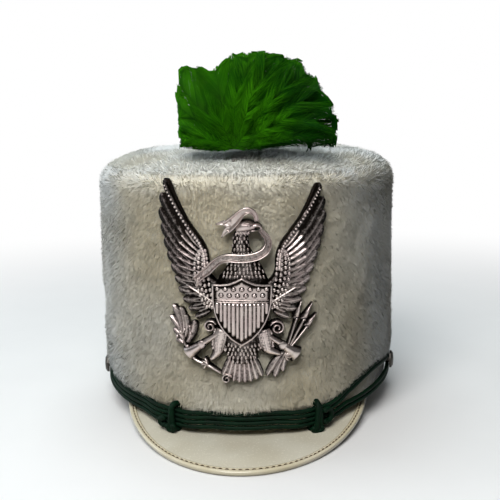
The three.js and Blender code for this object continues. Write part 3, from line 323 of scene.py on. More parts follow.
# %%
# The floor
FLOOR_HALF, FLOOR_STEPS, FADE_FROM, FADE_TO = 4.0, 9, 0.2, 0.75
spread = np.linspace(-FLOOR_HALF, FLOOR_HALF, FLOOR_STEPS)
floor_points = [(x, y, 0.0) for y in spread for x in spread]
floor_mesh = bpy.data.meshes.new("floor")
floor_mesh.from_pydata(floor_points, [], grid_faces(FLOOR_STEPS, FLOOR_STEPS).tolist())
floor = bpy.data.objects.new("floor", floor_mesh)
bpy.context.scene.collection.objects.link(floor)
graph = Graph("pale_floor")
grain = graph.noise(60, 3)
floor_colour = graph.mix(grain, colour("efeeec"), colour("f4f3f1"))
looked_at = graph.node("ShaderNodeLightPath", {}, {}, "Is Camera Ray")
mirrored = graph.node("ShaderNodeLightPath", {}, {}, "Is Glossy Ray")
floor_colour = graph.mix(looked_at.math("MAXIMUM", mirrored), colour("64625e"), floor_colour)
near = graph.node("ShaderNodeBsdfPrincipled", {}, {"Base Color": floor_colour, "Roughness": 0.7})
far = graph.node("ShaderNodeEmission", {}, {"Color": (1, 1, 1, 1), "Strength": 1.0})
reach = graph.node("ShaderNodeVectorMath", {"operation": "LENGTH"}, {0: graph.place}, "Value")
fade = reach.span(FADE_FROM, FADE_TO) * looked_at
graph.end(graph.node("ShaderNodeMixShader", {}, {0: fade, 1: near, 2: far}))
floor.data.materials.append(graph.material)

# %%
# The sky
SKY_LOW, SKY_HIGH = 0.01, 0.16
world = bpy.data.worlds.new("studio")
bpy.context.scene.world = world
world.use_nodes = True
sky = world.node_tree.nodes
ray = sky.new("ShaderNodeLightPath")
seen = sky.new("ShaderNodeBackground")
seen.inputs["Color"].default_value, seen.inputs["Strength"].default_value = (1, 1, 1, 1), 1.0
lit = sky["Background"]
lit.inputs["Color"].default_value = (0.92, 0.96, 1, 1)
either = sky.new("ShaderNodeMixShader")
join = world.node_tree.links.new
way, parts = sky.new("ShaderNodeTexCoord"), sky.new("ShaderNodeSeparateXYZ")
high = sky.new("ShaderNodeMapRange")
for end, value in (("From Min", 0.05), ("From Max", 0.8), ("To Min", SKY_LOW), ("To Max", SKY_HIGH)):
    high.inputs[end].default_value = value
join(way.outputs["Generated"], parts.inputs[0])
join(parts.outputs["Z"], high.inputs["Value"])
join(high.outputs[0], lit.inputs["Strength"])
join(ray.outputs["Is Camera Ray"], either.inputs[0])
join(lit.outputs[0], either.inputs[1])
join(seen.outputs[0], either.inputs[2])
join(either.outputs[0], sky["World Output"].inputs["Surface"])

# %%
# The lamps
LAMPS = [
    # name, place, size, power, tint
    ("key", (-0.19, -0.87, 1.05), 0.7, 15.6, (1, 1, 1)),
    ("rim", (-1.0, 0.3, 0.4), 0.6, 3.2, (0.85, 0.94, 1)),
    ("top", (-0.1, 0.4, 1.3), 0.7, 6, (0.82, 0.94, 1)),
]
LAMP_TARGET = Vector((0, 0, 0.1))
for name, place, width, power, tint in LAMPS:
    light = bpy.data.objects.new(name, bpy.data.lights.new(name, "AREA"))
    bpy.context.scene.collection.objects.link(light)
    light.data.shape = "RECTANGLE"
    light.data.size, light.data.size_y = width, width
    light.data.energy, light.data.color = power, tint
    light.location = place
    light.rotation_euler = (LAMP_TARGET - Vector(place)).to_track_quat("-Z", "Y").to_euler()

# %% [markdown]
# ## Sheepskin
# The wall is wrapped in one length of sheared sheepskin, and a second oval piece covers the deck. Both
# are cut a little large, so the pile rolls over the seam between them. The pile is pressed flat under the
# cord and swells above it in broad soft lumps. The hide is made first, just under the pile's tips.

# %%
# The shape of the pile's surface
PILE_DEPTH, PRESSED_DEPTH, BACK_DEPTH, HEM_HEIGHT = 11.6, 8.8, 10.4, 4.6
SEAM_HEIGHT, SEAM_REACH, TOP_DEPTH, LUMP_DEPTH = 154.5, 6.0, 11.0, 1.7
BUTTON_ANGLE, KNOT_ANGLE = math.radians(80), math.radians(25.7)
CORD_RADIUS, CORD_PITCH, CORD_HEIGHT, CORD_SAG, KNOT_DIP = 1.3, 2.9, 10.65, 2.4, 1.2
SLACK_LEFT, SLACK_RIGHT, PART_LEFT, PART_RIGHT, BUTTON_SPREAD = 0.1, 3.4, 0.55, 0.1, 2.65
SHOULDER, SEAM_DEPTH, HEM_ROLL, BACK_BAND = 12.0, 4.6, 4.0, 14.0
KNOT_END = KNOT_ANGLE + 5.1 / HALF_LENGTH


def cord_spread(angle):
    """How far the loops part beyond a knot, on the way to a button. They hang slacker on the right."""
    around = np.abs(np.arctan2(np.sin(angle), np.cos(angle)))
    way = (around - KNOT_END) / (BUTTON_ANGLE - KNOT_END)
    slack = np.where(np.sin(angle) < 0, SLACK_LEFT, SLACK_RIGHT) * np.sin(math.pi * np.clip(way, 0, 1)) ** 2
    start = np.where(np.sin(angle) < 0, PART_LEFT, PART_RIGHT)
    return (BUTTON_SPREAD * smooth(way, start, 1) + slack) * (1 - smooth(way, 1.1, 1.6))


def near_knot(angle):
    away = np.abs(np.abs(angle) - KNOT_ANGLE) / math.radians(8)
    return 1 - smooth(away, 0.6, 2)


def cord_middle(angle):
    sag = CORD_SAG * smooth(-np.sin(angle), math.sin(KNOT_ANGLE), 1)
    return CORD_HEIGHT + cord_spread(angle) - KNOT_DIP * near_knot(angle) - sag


def band_top(angle):
    return cord_middle(angle) + 1.5 * CORD_PITCH + CORD_RADIUS + cord_spread(angle)


def lumps(points):
    tall = points * np.array([1, 1, 0.62])
    return 0.55 * noise(tall, 17, 1) + 0.3 * noise(tall, 8, 2) + 0.15 * noise(points, 3.6, 3)


def looseness(angle, height):
    """0 where the pile is pressed under the cord, 1 where it stands free."""
    around = np.abs(np.arctan2(np.sin(angle), np.cos(angle)))
    free = smooth(height - above_rim(angle, band_top(angle)), -4, 2)
    return np.maximum(free, smooth(around, BUTTON_ANGLE, BUTTON_ANGLE + 0.3))


def wall_point(angle, rise, under=0.0):
    """A point of the wall's pile. rise runs from 0 at the hem to 1 at the seam."""
    around = np.abs(np.arctan2(np.sin(angle), np.cos(angle)))
    behind = smooth(around, BUTTON_ANGLE + 0.14, BUTTON_ANGLE + 0.45)
    pressed = lerp(PRESSED_DEPTH, BACK_DEPTH, behind)
    top = lerp(band_top(angle), BACK_BAND, behind)
    height = lerp(HEM_HEIGHT, SEAM_HEIGHT, rise)
    depth = lerp(pressed, PILE_DEPTH, smooth(height, top - 3.5, top + 4))
    shoulder = np.clip((height - (SEAM_HEIGHT - SHOULDER)) / SHOULDER, 0, 1)
    depth = lerp(depth, SEAM_DEPTH, 1 - np.sqrt(1 - 0.98 * shoulder**2))
    depth = depth - HEM_ROLL * np.clip(1 - (height - HEM_HEIGHT) / HEM_ROLL, 0, 1) ** 2
    height = above_rim(angle, height)
    swell = LUMP_DEPTH * lumps(crown(angle, depth, height)) * lerp(0.25, 1, looseness(angle, height))
    return crown(angle, depth + swell - under, height)


def top_point(angle, reach, under=0.0):
    """A point of the deck's pile. reach runs from 0 at the middle to 1 at the seam."""
    out = crown(angle, SEAM_REACH, 0.0) * reach[..., None]
    roll = np.clip(1 - np.clip(reach, 0, 1) ** 5, 0, 1) ** 0.75
    out[..., 2] = SHELL_HEIGHT + 0.6 + (TOP_DEPTH - 1.6) * roll - under
    out[..., 2] += LUMP_DEPTH * 0.8 * lumps(out) * smooth(roll, 0, 0.5)
    return out


def facing(surface, first, second, step=0.004):
    """Normals of a surface of two shares, from small steps along each."""
    across = surface(first + step, second) - surface(first - step, second)
    up = surface(first, second + step) - surface(first, second - step)
    return unit(np.cross(across, up))


# %%
# The hide of the wall
HIDE_COLUMNS, HIDE_ROWS, HIDE_DEPTH = 300, 72, 0.8
angle = np.linspace(0, 2 * math.pi, HIDE_COLUMNS, endpoint=False)[None, :]
rise = np.linspace(0, 1, HIDE_ROWS)[:, None]
hide = wall_point(angle + 0 * rise, rise + 0 * angle, HIDE_DEPTH)
hem_in = crown(angle, 0.6, above_rim(angle, HEM_HEIGHT + 0.6 + 0 * angle))
seam_in = crown(angle, 1.0 + 0 * angle, SHELL_HEIGHT + 0.4 + 0 * angle)
wall_hide = Gather()
wall_skin = np.concatenate([hem_in, hide, seam_in])
wall_faces = grid_faces(HIDE_ROWS + 2, HIDE_COLUMNS, wrap_columns=True)
wall_hide.add(wall_skin, wall_faces, depth=0.75, tuft=0.5, warm=0.6)
wall_hide_piece = wall_hide.build("side_hide", ["side_fur"])

# %%
# The hide of the deck
TOP_COLUMNS, TOP_ROWS = 200, 40
angle = np.linspace(0, 2 * math.pi, TOP_COLUMNS, endpoint=False)[None, :]
reach = np.linspace(1, 0.01, TOP_ROWS)[:, None] ** 0.7
deck = top_point(angle + 0 * reach, reach + 0 * angle, HIDE_DEPTH)
edge = crown(angle, 1.5 + 0 * angle, SHELL_HEIGHT + 0.5 + 0 * angle)
middle = deck[-1].mean(0)
top_hide = Gather()
# painted light: the deck's hide is painted cooler, like the deck's pile
top_hide.add(
    np.concatenate([edge, deck]),
    grid_faces(TOP_ROWS + 1, TOP_COLUMNS, wrap_columns=True),
    depth=0.75,
    tuft=0.5,
    warm=0.2,
)
cap = fan_faces(0, TOP_COLUMNS, TOP_COLUMNS)
top_hide.add(np.concatenate([deck[-1], middle[None]]), tris=cap, depth=0.75, tuft=0.5, warm=0.2)
top_hide_piece = top_hide.build("top_hide", ["top_fur"])

# %% [markdown]
# ## The pile
# Sheared wool stands in small tufts that lean together, mostly downward on the wall. Every strand is a
# narrow blade, wide enough to close the surface. The tips of one tuft draw a little together. The
# normals stay near the hide's, because real wool scatters light as a soft mass and not as flat ribbons.

# %%
# Strands from roots, outward directions and a lean
TUFT_SIZE = 2.6


def tuft_pull(roots, tips, seed):
    """For each strand, its tuft's shared tip, the tuft's tone, and the root's distance from its middle."""
    chosen = np.random.default_rng(seed)
    count = max(8, int(len(roots) / 1.5 / TUFT_SIZE**2))
    picks = chosen.choice(len(roots), count, replace=False)
    tree = kdtree.KDTree(count)
    for i, pick in enumerate(picks):
        tree.insert(roots[pick], i)
    tree.balance()
    near = np.array([tree.find(root)[1] for root in roots])
    away = np.linalg.norm(roots - roots[picks][near], axis=-1)
    return tips[picks][near], chosen.random(count)[near], away


def pile(gather, roots, outward, lean, length, warm, width, seed, draw=0.16):
    """Narrow blades from the roots. draw is how far a tuft's tips draw together."""
    chosen = np.random.default_rng(seed)
    count = len(roots)
    heading = unit(outward * 0.5 + lean + chosen.normal(0, 0.11, (count, 3)))
    tips = roots + heading * (length * (0.8 + 0.3 * chosen.random(count)))[:, None]
    centre, tone, away = tuft_pull(roots, tips, seed + 1)
    share = (draw * (0.4 + 0.6 * chosen.random(count)))[:, None]
    tips = lerp(tips, centre, share)
    side = unit(np.cross(unit(tips - roots), outward + chosen.normal(0, 0.35, (count, 3))))
    own = unit(np.cross(side, tips - roots))
    turned_in = np.sign((own * outward).sum(-1, keepdims=True))
    own, side = own * turned_in, side * turned_in
    half = (width * (0.7 + 0.6 * chosen.random(count)))[:, None] / 2
    root_off, tip_off = side * half, side * half * 0.5
    points = np.stack([roots - root_off, roots + root_off, tips + tip_off, tips - tip_off], 1)
    form = unit(tips - centre + 1e-6) * np.clip(away / TUFT_SIZE, 0, 1)[:, None]
    soft = unit(outward + own * 0.06 + form * 0.12)
    gather.add(
        points,
        quads=np.arange(count)[:, None] * 4 + np.arange(4),
        normals=np.repeat(soft[:, None], 4, 1),
        # the depth mark runs from root to tip; the wool paints shade with it near the roots
        depth=np.broadcast_to([0.0, 0.0, 1.0, 1.0], (count, 4)).ravel(),
        tuft=np.repeat(tone, 4),
        warm=np.repeat(warm, 4),
    )


def wall_roots(count, low, high, seed):
    chosen = np.random.default_rng(seed)
    angle, rise = chosen.uniform(low, high, count), chosen.random(count) ** 0.97
    surface = wall_point(angle, rise)
    outward = facing(wall_point, angle, rise)
    height = surface[:, 2]
    loose = looseness(angle, height)
    level = crown_normal(angle)
    tangent = np.stack([-level[:, 1], level[:, 0], 0 * angle], -1)
    shoulder = smooth(height, SEAM_HEIGHT - 14, SEAM_HEIGHT)
    roots = surface - outward * (lerp(0.9, 1.5, loose) + 0.4 * chosen.random(count))[:, None]
    swirl = (0.34 * noise(surface, 26, 5) + 0.16 * noise(surface, 9, 6))[:, None] * tangent
    drop = lerp(0.6, -0.1, shoulder) + 0.2 * noise(surface, 12, 8)
    lean = swirl - np.array([0, 0, 1.0]) * drop[:, None]
    lean = lerp(swirl * 0.5 - np.array([0, 0, 2.4]), lean, loose[:, None])
    length = lerp(3.4, 4.2, loose) * (1 + 0.1 * noise(surface, 11, 9))
    # painted light: the wool is painted cooler under the seam and on both sides, where cool light falls, over a
    # random warm tone
    painted_cool_sides = smooth(np.abs(surface[:, 0] + 6), 50, 86)
    warm = 0.8 + 0.45 * noise(surface * np.array([1, 1, 0.6]), 30, 31) - 0.6 * np.maximum(shoulder, painted_cool_sides)
    warm = np.clip(warm, 0, 1)
    return roots, outward, lean, length, warm


# %%
# The pile of the wall, in three lengths round the hat
FRONT_STRANDS, BACK_STRANDS, TOP_STRANDS = 92000, 68000, 56000
STRAND_WIDTH, FRONT_END = 0.32, 1.72
left_pile = Gather()
pile(left_pile, *wall_roots(FRONT_STRANDS, -FRONT_END, 0, 11), STRAND_WIDTH, 12)
left_pile_piece = left_pile.build("side_pile_left")
right_pile = Gather()
pile(right_pile, *wall_roots(FRONT_STRANDS, 0, FRONT_END, 17), STRAND_WIDTH, 18)
right_pile_piece = right_pile.build("side_pile_right")
back_pile = Gather()
pile(back_pile, *wall_roots(BACK_STRANDS, FRONT_END, 2 * math.pi - FRONT_END, 13), STRAND_WIDTH * 1.3, 14)
back_pile_piece = back_pile.build("side_pile_back")

# %%
# The pile of the deck
PLUME_PLACE = np.array([-4.0, -86.0])
chosen = np.random.default_rng(15)
angle, reach = chosen.uniform(0, 2 * math.pi, TOP_STRANDS), np.sqrt(chosen.random(TOP_STRANDS))
surface = top_point(angle, reach)
outward = -facing(top_point, angle, reach)
radial = unit(surface * np.array([1, 1, 0]))
edge = smooth(reach, 0.8, 1.0)[:, None]
swirl = np.stack([noise(surface, 22, 21), noise(surface, 22, 22), 0 * angle], -1) * 0.55
lean = swirl + radial * (0.2 + 0.4 * edge) - np.array([0, 0, 0.2]) * edge
roots = surface - outward * (1.5 + 0.4 * chosen.random(TOP_STRANDS))[:, None]
around_stem = np.linalg.norm(surface[:, :2] - PLUME_PLACE, axis=-1)
length = 4.4 * (1 + 0.12 * noise(surface, 11, 9)) * lerp(0.6, 1, smooth(around_stem, 4, 12))
# painted light: the deck's pile is painted a cool white for the cool lamp overhead, with a random tone
warm = np.clip(0.14 + 0.3 * noise(surface, 34, 31), 0, 1)
top_pile = Gather()
pile(top_pile, roots, outward, lean, length, warm, STRAND_WIDTH * 1.2, 16)
top_pile_piece = top_pile.build("top_pile")

# %% [markdown]
# The wool is a warm ivory on the wall. The deck, the shoulder under the seam and the sides are painted a cooler
# white for the cool light that falls there. It greys a little towards the hide, a painted shade deep in the
# pile, and every tuft has its own slight tone.

# %%
# The wool's material
graph = Graph("wool")
depth, tuft, warm = graph.mark("depth"), graph.mark("tuft"), graph.mark("warm")
fleck = graph.noise(1.6, 2, 0.6, (1, 1, 0.4))
fresh = graph.mix(warm, colour("eef1f0"), colour("eee4c9"))
dull = graph.mix(warm, colour("e0e2df"), colour("e1d7bc"))
hair = graph.mix((tuft * 0.5 + fleck * 0.5).span(0.1, 0.9), dull, fresh)
wool = graph.finish({
    # painted shade: the strands grey towards their roots, deep in the pile
    "Base Color": graph.mix(depth.span(0.0, 0.7), colour("d8ceb4"), hair),
    "Roughness": fleck.span(0.2, 0.8, 0.72, 0.9),
    "Specular IOR Level": 0.2,
    "Sheen Weight": 0.3,
    "Sheen Roughness": 0.5,
})
hides = (wall_hide_piece, top_hide_piece)
piles = (left_pile_piece, right_pile_piece, back_pile_piece, top_pile_piece)
for piece in hides + piles:
    piece.data.materials.append(wool)

# %% [markdown]
# ## The eagle
# The badge is one casting in a white metal, chased by hand and blackened, so the raised lines are rubbed
# bright and the hollows stay dark. It is drawn flat first, in millimetres from a point just under the
# shield's top, and then bent to the front of the crown and turned a little, as it was pinned.

# %%
# From the flat drawing to the crown
BADGE_DEPTH, BADGE_ORIGIN_HEIGHT, BADGE_TURN, BADGE_SHIFT = 14.0, 94.5, math.radians(-0.9), 0.8


def on_crown(points):
    x, y, z = np.moveaxis(np.asarray(points, float), -1, 0)
    c, s = math.cos(BADGE_TURN), math.sin(BADGE_TURN)
    length, height = x * c - y * s + BADGE_SHIFT, x * s + y * c
    angle, steps = 0 * length, 12
    for _ in range(steps):
        across, back = (HALF_WIDTH + BADGE_DEPTH) * np.cos(angle), (HALF_LENGTH + BADGE_DEPTH) * np.sin(angle)
        angle = angle + length / steps / np.hypot(across, back)
    return crown(angle, BADGE_DEPTH + z, BADGE_ORIGIN_HEIGHT + height)


def spline(points, count):
    """A smooth run of count places through a few chosen rows of numbers."""
    points = np.asarray(points, float)
    ends = np.concatenate([2 * points[:1] - points[1:2], points, 2 * points[-1:] - points[-2:-1]])
    at = np.linspace(0, len(points) - 1 - 1e-9, count)
    i, t = at.astype(int), (at % 1)[:, None]
    a, b, c, d = ends[i], ends[i + 1], ends[i + 2], ends[i + 3]
    return 0.5 * (2 * b + (c - a) * t + (2 * a - 5 * b + 4 * c - d) * t**2 + (3 * b - a - 3 * c + d) * t**3)


FOOT, DOME_FALL = -0.9, 0.92


def strip(gather, middle, half, tops, shape, columns=7, foot=FOOT, tone=1.0):
    """A closed raised band. shape gives the height share across it, tops the height along it."""
    middle = np.asarray(middle, float)
    along = unit(np.gradient(middle, axis=0))
    side = np.stack([-along[:, 1], along[:, 0]], -1)
    share = np.linspace(-1, 1, columns)
    rise = shape(share[None, :], np.linspace(0, 1, len(middle))[:, None])
    rise = np.broadcast_to(rise, (len(middle), columns))
    flat = middle[:, None] + side[:, None] * (np.asarray(half)[:, None] * share)[..., None]
    top = np.concatenate([flat, (np.asarray(tops)[:, None] * rise)[..., None]], -1)
    low = top[:, [-1, 0]].copy()
    low[..., 2] = foot
    ring = np.concatenate([top, low], 1)
    marks = np.concatenate([np.clip(rise * tone, 0, 1), np.zeros((len(middle), 2))], 1)
    faces = grid_faces(len(middle), columns + 2, wrap_columns=True)[:, ::-1]
    last = len(middle) - 1
    start = np.array([[k, k + 1, columns] for k in range(columns - 1)] + [[0, columns, columns + 1]])
    gather.add(
        on_crown(ring),
        quads=faces,
        tris=np.concatenate([start, start[:, ::-1] + last * (columns + 2)]),
        relief=marks.ravel(),
    )


def dome(share, along):
    return np.sqrt(np.clip(1 - DOME_FALL * share**2, 0, 1))


def quill(share, along):
    """A feather's section: a raised shaft, and barbs that run out from it in fine ridges."""
    barbs = 0.07 * np.sin(along * 46 - 9 * np.abs(share)) * np.clip(np.abs(share) * 3, 0, 1)
    return 0.5 + 0.28 * (1 - share**2) + 0.3 * np.exp(-((share / 0.16) ** 2)) + barbs


def rimmed(share, along):
    return 0.66 + 0.34 * smooth(np.abs(share), 0.55, 0.75) - 0.5 * smooth(np.abs(share), 0.88, 1)


def feather(gather, root, tip, width, top, bow=0.0, steps=13, shape=quill, columns=9, tone=1.0, blunt=False):
    """A feather or leaf from root to tip. bow bends it, and a blunt one keeps its width almost to the tip."""
    root, tip = np.asarray(root, float), np.asarray(tip, float)
    line = tip - root
    square = np.array([line[1], -line[0]])
    t = 1 - (1 - np.linspace(0, 1, steps)) ** 1.35
    middle = root + line * t[:, None] + square * (bow * 4 * t * (1 - t))[:, None]
    round_share = 0.6 * width / np.linalg.norm(line) if blunt else 0.28
    ended = np.clip(t - 1 + round_share, 0, 1) / round_share
    half = width / 2 * (0.5 + 0.5 * smooth(t, 0, 0.5)) * np.sqrt(np.clip(1 - ended**2, 0.006, 1))
    strip(gather, middle, half, top * lerp(1.0, 0.8, t), shape, columns, FOOT, tone)


def bead(gather, x, y, radius, low, tall=None, sides=8, squash=1.0, turn=0.0):
    """A rounded drop, such as a bead, a berry or a scale."""
    tall = radius if tall is None else tall
    rings = []
    for level in (0.0, 0.55, 0.9):
        around = np.arange(sides) / sides * 2 * math.pi
        reach = radius * math.sqrt(1 - level**2)
        px, py = reach * np.cos(around), reach * squash * np.sin(around)
        c, s = math.cos(turn), math.sin(turn)
        rings.append(np.stack([x + px * c - py * s, y + px * s + py * c, low + tall * level + 0 * px], -1))
    top = np.array([[x, y, low + tall]])
    points = np.concatenate([*rings, top])
    fan = fan_faces(2 * sides, sides, 3 * sides)
    under = np.array([[0, k + 1, k] for k in range(1, sides - 1)])
    marks = np.repeat([0.15, 0.7, 1.0, 1.0], [sides, sides, sides, 1])
    gather.add(on_crown(points), grid_faces(3, sides, wrap_columns=True), np.concatenate([fan, under]), relief=marks)


# %% [markdown]
# Both wings come from one drawing, mirrored. Long flight feathers fan out behind, a second row lies over
# their roots, scales cover the arm, and a beaded ridge follows the front edge up to the tip.

# %%
# The wings
FLIGHT = [
    # root x, root y, tip x, tip y, width
    (22.5, 20.0, 43.2, 60.0, 5.6), (23.5, 15.5, 45.6, 51.2, 6.6), (24.0, 11.0, 46.4, 42.0, 7.0),
    (24.5, 7.0, 45.2, 32.6, 7.0), (24.5, 4.0, 43.6, 23.6, 6.8), (24.0, 0.5, 41.8, 15.4, 6.2),
    (23.5, -2.5, 39.8, 8.2, 5.6), (22.5, -5.5, 37.8, 1.4, 5.2), (21.5, -8.5, 35.8, -5.0, 4.8),
    (20.5, -11.5, 33.2, -11.0, 4.4), (19.5, -14.0, 30.2, -16.4, 4.2), (18.0, -16.5, 26.2, -21.0, 4.0),
]
COVERTS = [
    (21.8, 18.5, 31.0, 29.5, 2.7), (21.6, 16.0, 33.4, 26.4, 2.7), (21.4, 13.5, 35.0, 22.4, 2.8),
    (21.2, 11.0, 36.0, 18.0, 2.8), (21.0, 8.5, 36.4, 13.2, 2.8), (20.8, 6.0, 36.2, 8.6, 2.7),
    (20.6, 3.4, 35.4, 4.2, 2.7), (20.2, 0.8, 34.4, 0.0, 2.6), (19.6, -1.8, 33.0, -4.0, 2.6),
    (19.0, -4.4, 31.4, -7.8, 2.5), (18.2, -7.0, 29.4, -11.2, 2.5), (17.6, -9.6, 27.0, -14.4, 2.4),
    (16.8, -12.2, 24.0, -17.4, 2.4),
]
FRONT_EDGE = [
    # x, y, half width
    (42.4, 58.0, 0.9), (39.3, 50.6, 1.3), (35.6, 42.6, 1.5), (31.4, 35.2, 1.6), (26.9, 28.2, 1.8),
    (23.0, 22.4, 2.0), (20.9, 17.2, 2.2), (20.2, 12.0, 2.1), (19.8, 7.0, 1.9), (18.0, 2.4, 2.2), (14.0, -1.4, 2.4),
]
ARM = [
    (22.0, 18.6, 1.6), (22.6, 13.0, 3.2), (22.4, 6.0, 3.6), (21.4, -2.0, 3.4), (19.4, -9.0, 3.0), (17.0, -14.0, 2.4),
]
WEB = [(30, 27, 3.0), (31, 18, 5.0), (31, 9, 6.5), (29.5, 1, 6.5), (27, -7, 5.5), (23, -14, 4.0)]
# WING_LIGHT is painted reflection: how much brighter each wing's feathers are painted
WING_SPREAD, WING_DROP, WING_LIGHT = {-1: 2.8, 1: 2.0}, {-1: 1.9, 1: 4.2}, {-1: 0.12, 1: 0.32}


def mirrored(places, side):
    return np.asarray(places, float) * np.where(np.arange(len(places[0])) == 0, side, 1)


def wing(x, y, side):
    """A place of the one drawing on the left or the right wing, which were bent a little apart."""
    outer = np.clip((x - 19) / 25, 0, 1.2)
    drop = WING_DROP[side] * outer * np.clip((30 - y) / 28, -1, 0.5)
    return np.stack([side * (x + WING_SPREAD[side] * outer), y + drop], -1)


eagle = Gather()
for side in (-1, 1):
    # painted reflection: coverts and lower flight feathers are painted brighter, on the right wing more than the
    # left
    painted_wing_light = WING_LIGHT[side]
    for i, (x0, y0, x1, y1, width) in enumerate(FLIGHT):
        ends = wing(np.array([x0, x1]), np.array([y0, y1]), side)
        bow, tone = side * lerp(0.05, 0.02, i / 11), 0.6 + 1.2 * painted_wing_light * min(1, i / 7)
        feather(eagle, *ends, width, 2.0 + 0.07 * i, bow, 18, tone=tone, blunt=True)
    for i, (x0, y0, x1, y1, width) in enumerate(COVERTS):
        ends = wing(np.array([x0, x1]), np.array([y0, y1]), side)
        feather(eagle, *ends, width, 3.4 + 0.05 * i, side * 0.05, 12, tone=0.64 + 1.5 * painted_wing_light, blunt=True)
    web = spline(WEB, 16)
    strip(eagle, wing(web[:, 0], web[:, 1], side), web[:, 2], 1.2 + 0 * web[:, 0], lambda s, t: 1 + 0 * s, tone=0.2)
    arm = spline(ARM, 18)
    strip(eagle, wing(arm[:, 0], arm[:, 1], side), arm[:, 2], 3.4 + 0 * arm[:, 0], dome, tone=0.5)
    for step in np.linspace(0.02, 0.98, 13):
        x, y, half = spline(ARM, 101)[int(step * 100)]
        for k, share in enumerate((-0.95, -0.3, 0.35, 0.95)):
            place = wing(np.array(x + share * half), np.array(y - 0.7 * (k % 2)), side)
            bead(eagle, *place, 1.15, 2.7, 1.5 - 0.5 * abs(share), 7, 1.25)
    edge = spline(FRONT_EDGE, 34)
    strip(eagle, wing(edge[:, 0], edge[:, 1], side), edge[:, 2] * 0.8, 3.5 + 0 * edge[:, 0], dome, tone=0.6)
    for x, y, half in spline(FRONT_EDGE, 37)[1:29]:
        bead(eagle, *wing(np.array(x + 0.3), np.array(y - 0.2), side), 0.42 * half + 0.25, 3.3, 1.1, 7)
print("wings:", eagle.count, "points")

# %% [markdown]
# The body is a rounded form under rows of small drop-shaped feathers. The head looks to its own left, with a
# heavy brow and a hooked bill that holds the ribbon.

# %%
# Body, neck and head
BODY = [
    # x, y, half width, height
    (-0.6, 30.0, 3.2, 4.2), (-0.8, 26.0, 4.4, 4.8), (-0.6, 20.0, 5.0, 5.0), (0.2, 14.0, 7.6, 5.2),
    (0.8, 7.0, 11.4, 5.2), (0.6, 0.0, 14.6, 4.5), (0.0, -14.0, 15.0, 4.2), (0.0, -30.0, 14.0, 4.8),
    (0.0, -40.0, 9.6, 4.6), (0.0, -47.0, 6.4, 3.6),
]
body = spline(BODY, 48)
strip(eagle, body[:, :2], body[:, 2], body[:, 3], dome, 15, tone=0.6)


def plumage(low, high, pitch, size, reach=0.9):
    """Rows of scales across the body between low and high, each a little out of line."""
    chosen = np.random.default_rng(int(90 + high))
    for row, y in enumerate(np.arange(high, low, -pitch)):
        x, _, half, top = body[np.argmin(np.abs(body[:, 1] - y))]
        count = max(2, int(2 * half * reach / size))
        for k in range(count + row % 2):
            share = (2 * k + 1 - row % 2 - count) / count * reach
            tall = top * math.sqrt(max(0, 1 - DOME_FALL * share**2))
            off_x, off_y = chosen.normal(0, 0.11, 2) * size
            bead(eagle, x + share * half + off_x, y + off_y, size * 0.36, tall - 0.4, 1.0, 6, 2.1, share * 0.35)


plumage(3.6, 13.4, 2.4, 2.0)
plumage(15.4, 28.0, 2.2, 1.8)
plumage(-46.0, -36.0, 2.4, 2.1)

HEAD = [
    (-2.6, 29.2, 2.4, 4.6), (-0.4, 31.6, 3.9, 6.0), (2.2, 32.6, 4.0, 6.6),
    (4.8, 32.8, 3.3, 6.2), (6.8, 32.4, 2.3, 5.6),
]
BILL = [
    (5.4, 32.6, 2.2, 6.0), (7.6, 33.2, 1.7, 6.2), (9.6, 32.6, 1.3, 5.6),
    (10.4, 30.6, 0.8, 5.0), (10.2, 29.2, 0.2, 4.6),
]
BROW = [(0.6, 34.0, 0.5, 6.9), (3.2, 34.6, 0.8, 7.3), (5.8, 34.0, 0.5, 6.9)]
JAW = [(4.6, 30.0, 1.0, 5.4), (6.8, 30.2, 0.8, 5.4), (8.6, 30.4, 0.3, 5.0)]
for table, count in ((HEAD, 18), (BILL, 16), (BROW, 8), (JAW, 8)):
    form = spline(table, count)
    strip(eagle, form[:, :2], form[:, 2], form[:, 3], dome, 9)
bead(eagle, 3.7, 32.9, 0.95, 6.2, 0.7, 10)
for k in range(9):
    bead(eagle, -2.4 + 0.75 * k, 29.2 - 0.5 * (k % 2), 0.6, 5.2, 0.8, 6, 1.9, 0.2)

# %% [markdown]
# A ribbon streams back over the head, turns at the bill, loops round and crosses the neck to the left
# wing. Its edges are raised, and its ends are cut to a fork. It carries no writing.

# %%
# The ribbon
STREAMER = [
    # x, y, half width, height
    (-9.0, 31.6, 3.8, 5.2), (-6.6, 33.4, 3.5, 5.4), (-3.6, 36.4, 3.0, 6.0), (-0.4, 39.8, 2.3, 6.4),
    (2.6, 41.4, 1.9, 6.6), (5.6, 40.6, 1.6, 6.6), (7.4, 38.0, 1.4, 6.4), (7.8, 35.4, 1.2, 6.2),
]
LOOP = [
    (9.2, 31.0, 1.2, 6.0), (11.4, 28.6, 1.6, 6.2), (13.6, 25.6, 1.9, 6.4), (14.0, 21.8, 2.1, 6.8),
    (11.8, 18.2, 2.3, 7.2), (7.0, 15.6, 2.4, 7.6), (0.0, 14.6, 2.4, 7.9), (-6.6, 14.8, 2.4, 7.6),
    (-11.6, 13.6, 2.4, 7.0), (-15.6, 10.6, 2.5, 6.4), (-18.6, 7.2, 2.5, 6.0), (-22.0, 4.6, 2.4, 5.8),
    (-25.0, 1.6, 2.2, 5.6),
]
RIBBON_FOOT = 2.6
RIBBON_ENDS = [
    # root x, root y, tip x, tip y, height
    (-6.0, 33.8, -14.6, 33.4, 5.4), (-6.2, 32.0, -11.4, 26.0, 5.4),
    (-24.0, 3.0, -27.8, 1.4, 5.6), (-23.4, 1.0, -25.2, -2.0, 5.6),
]
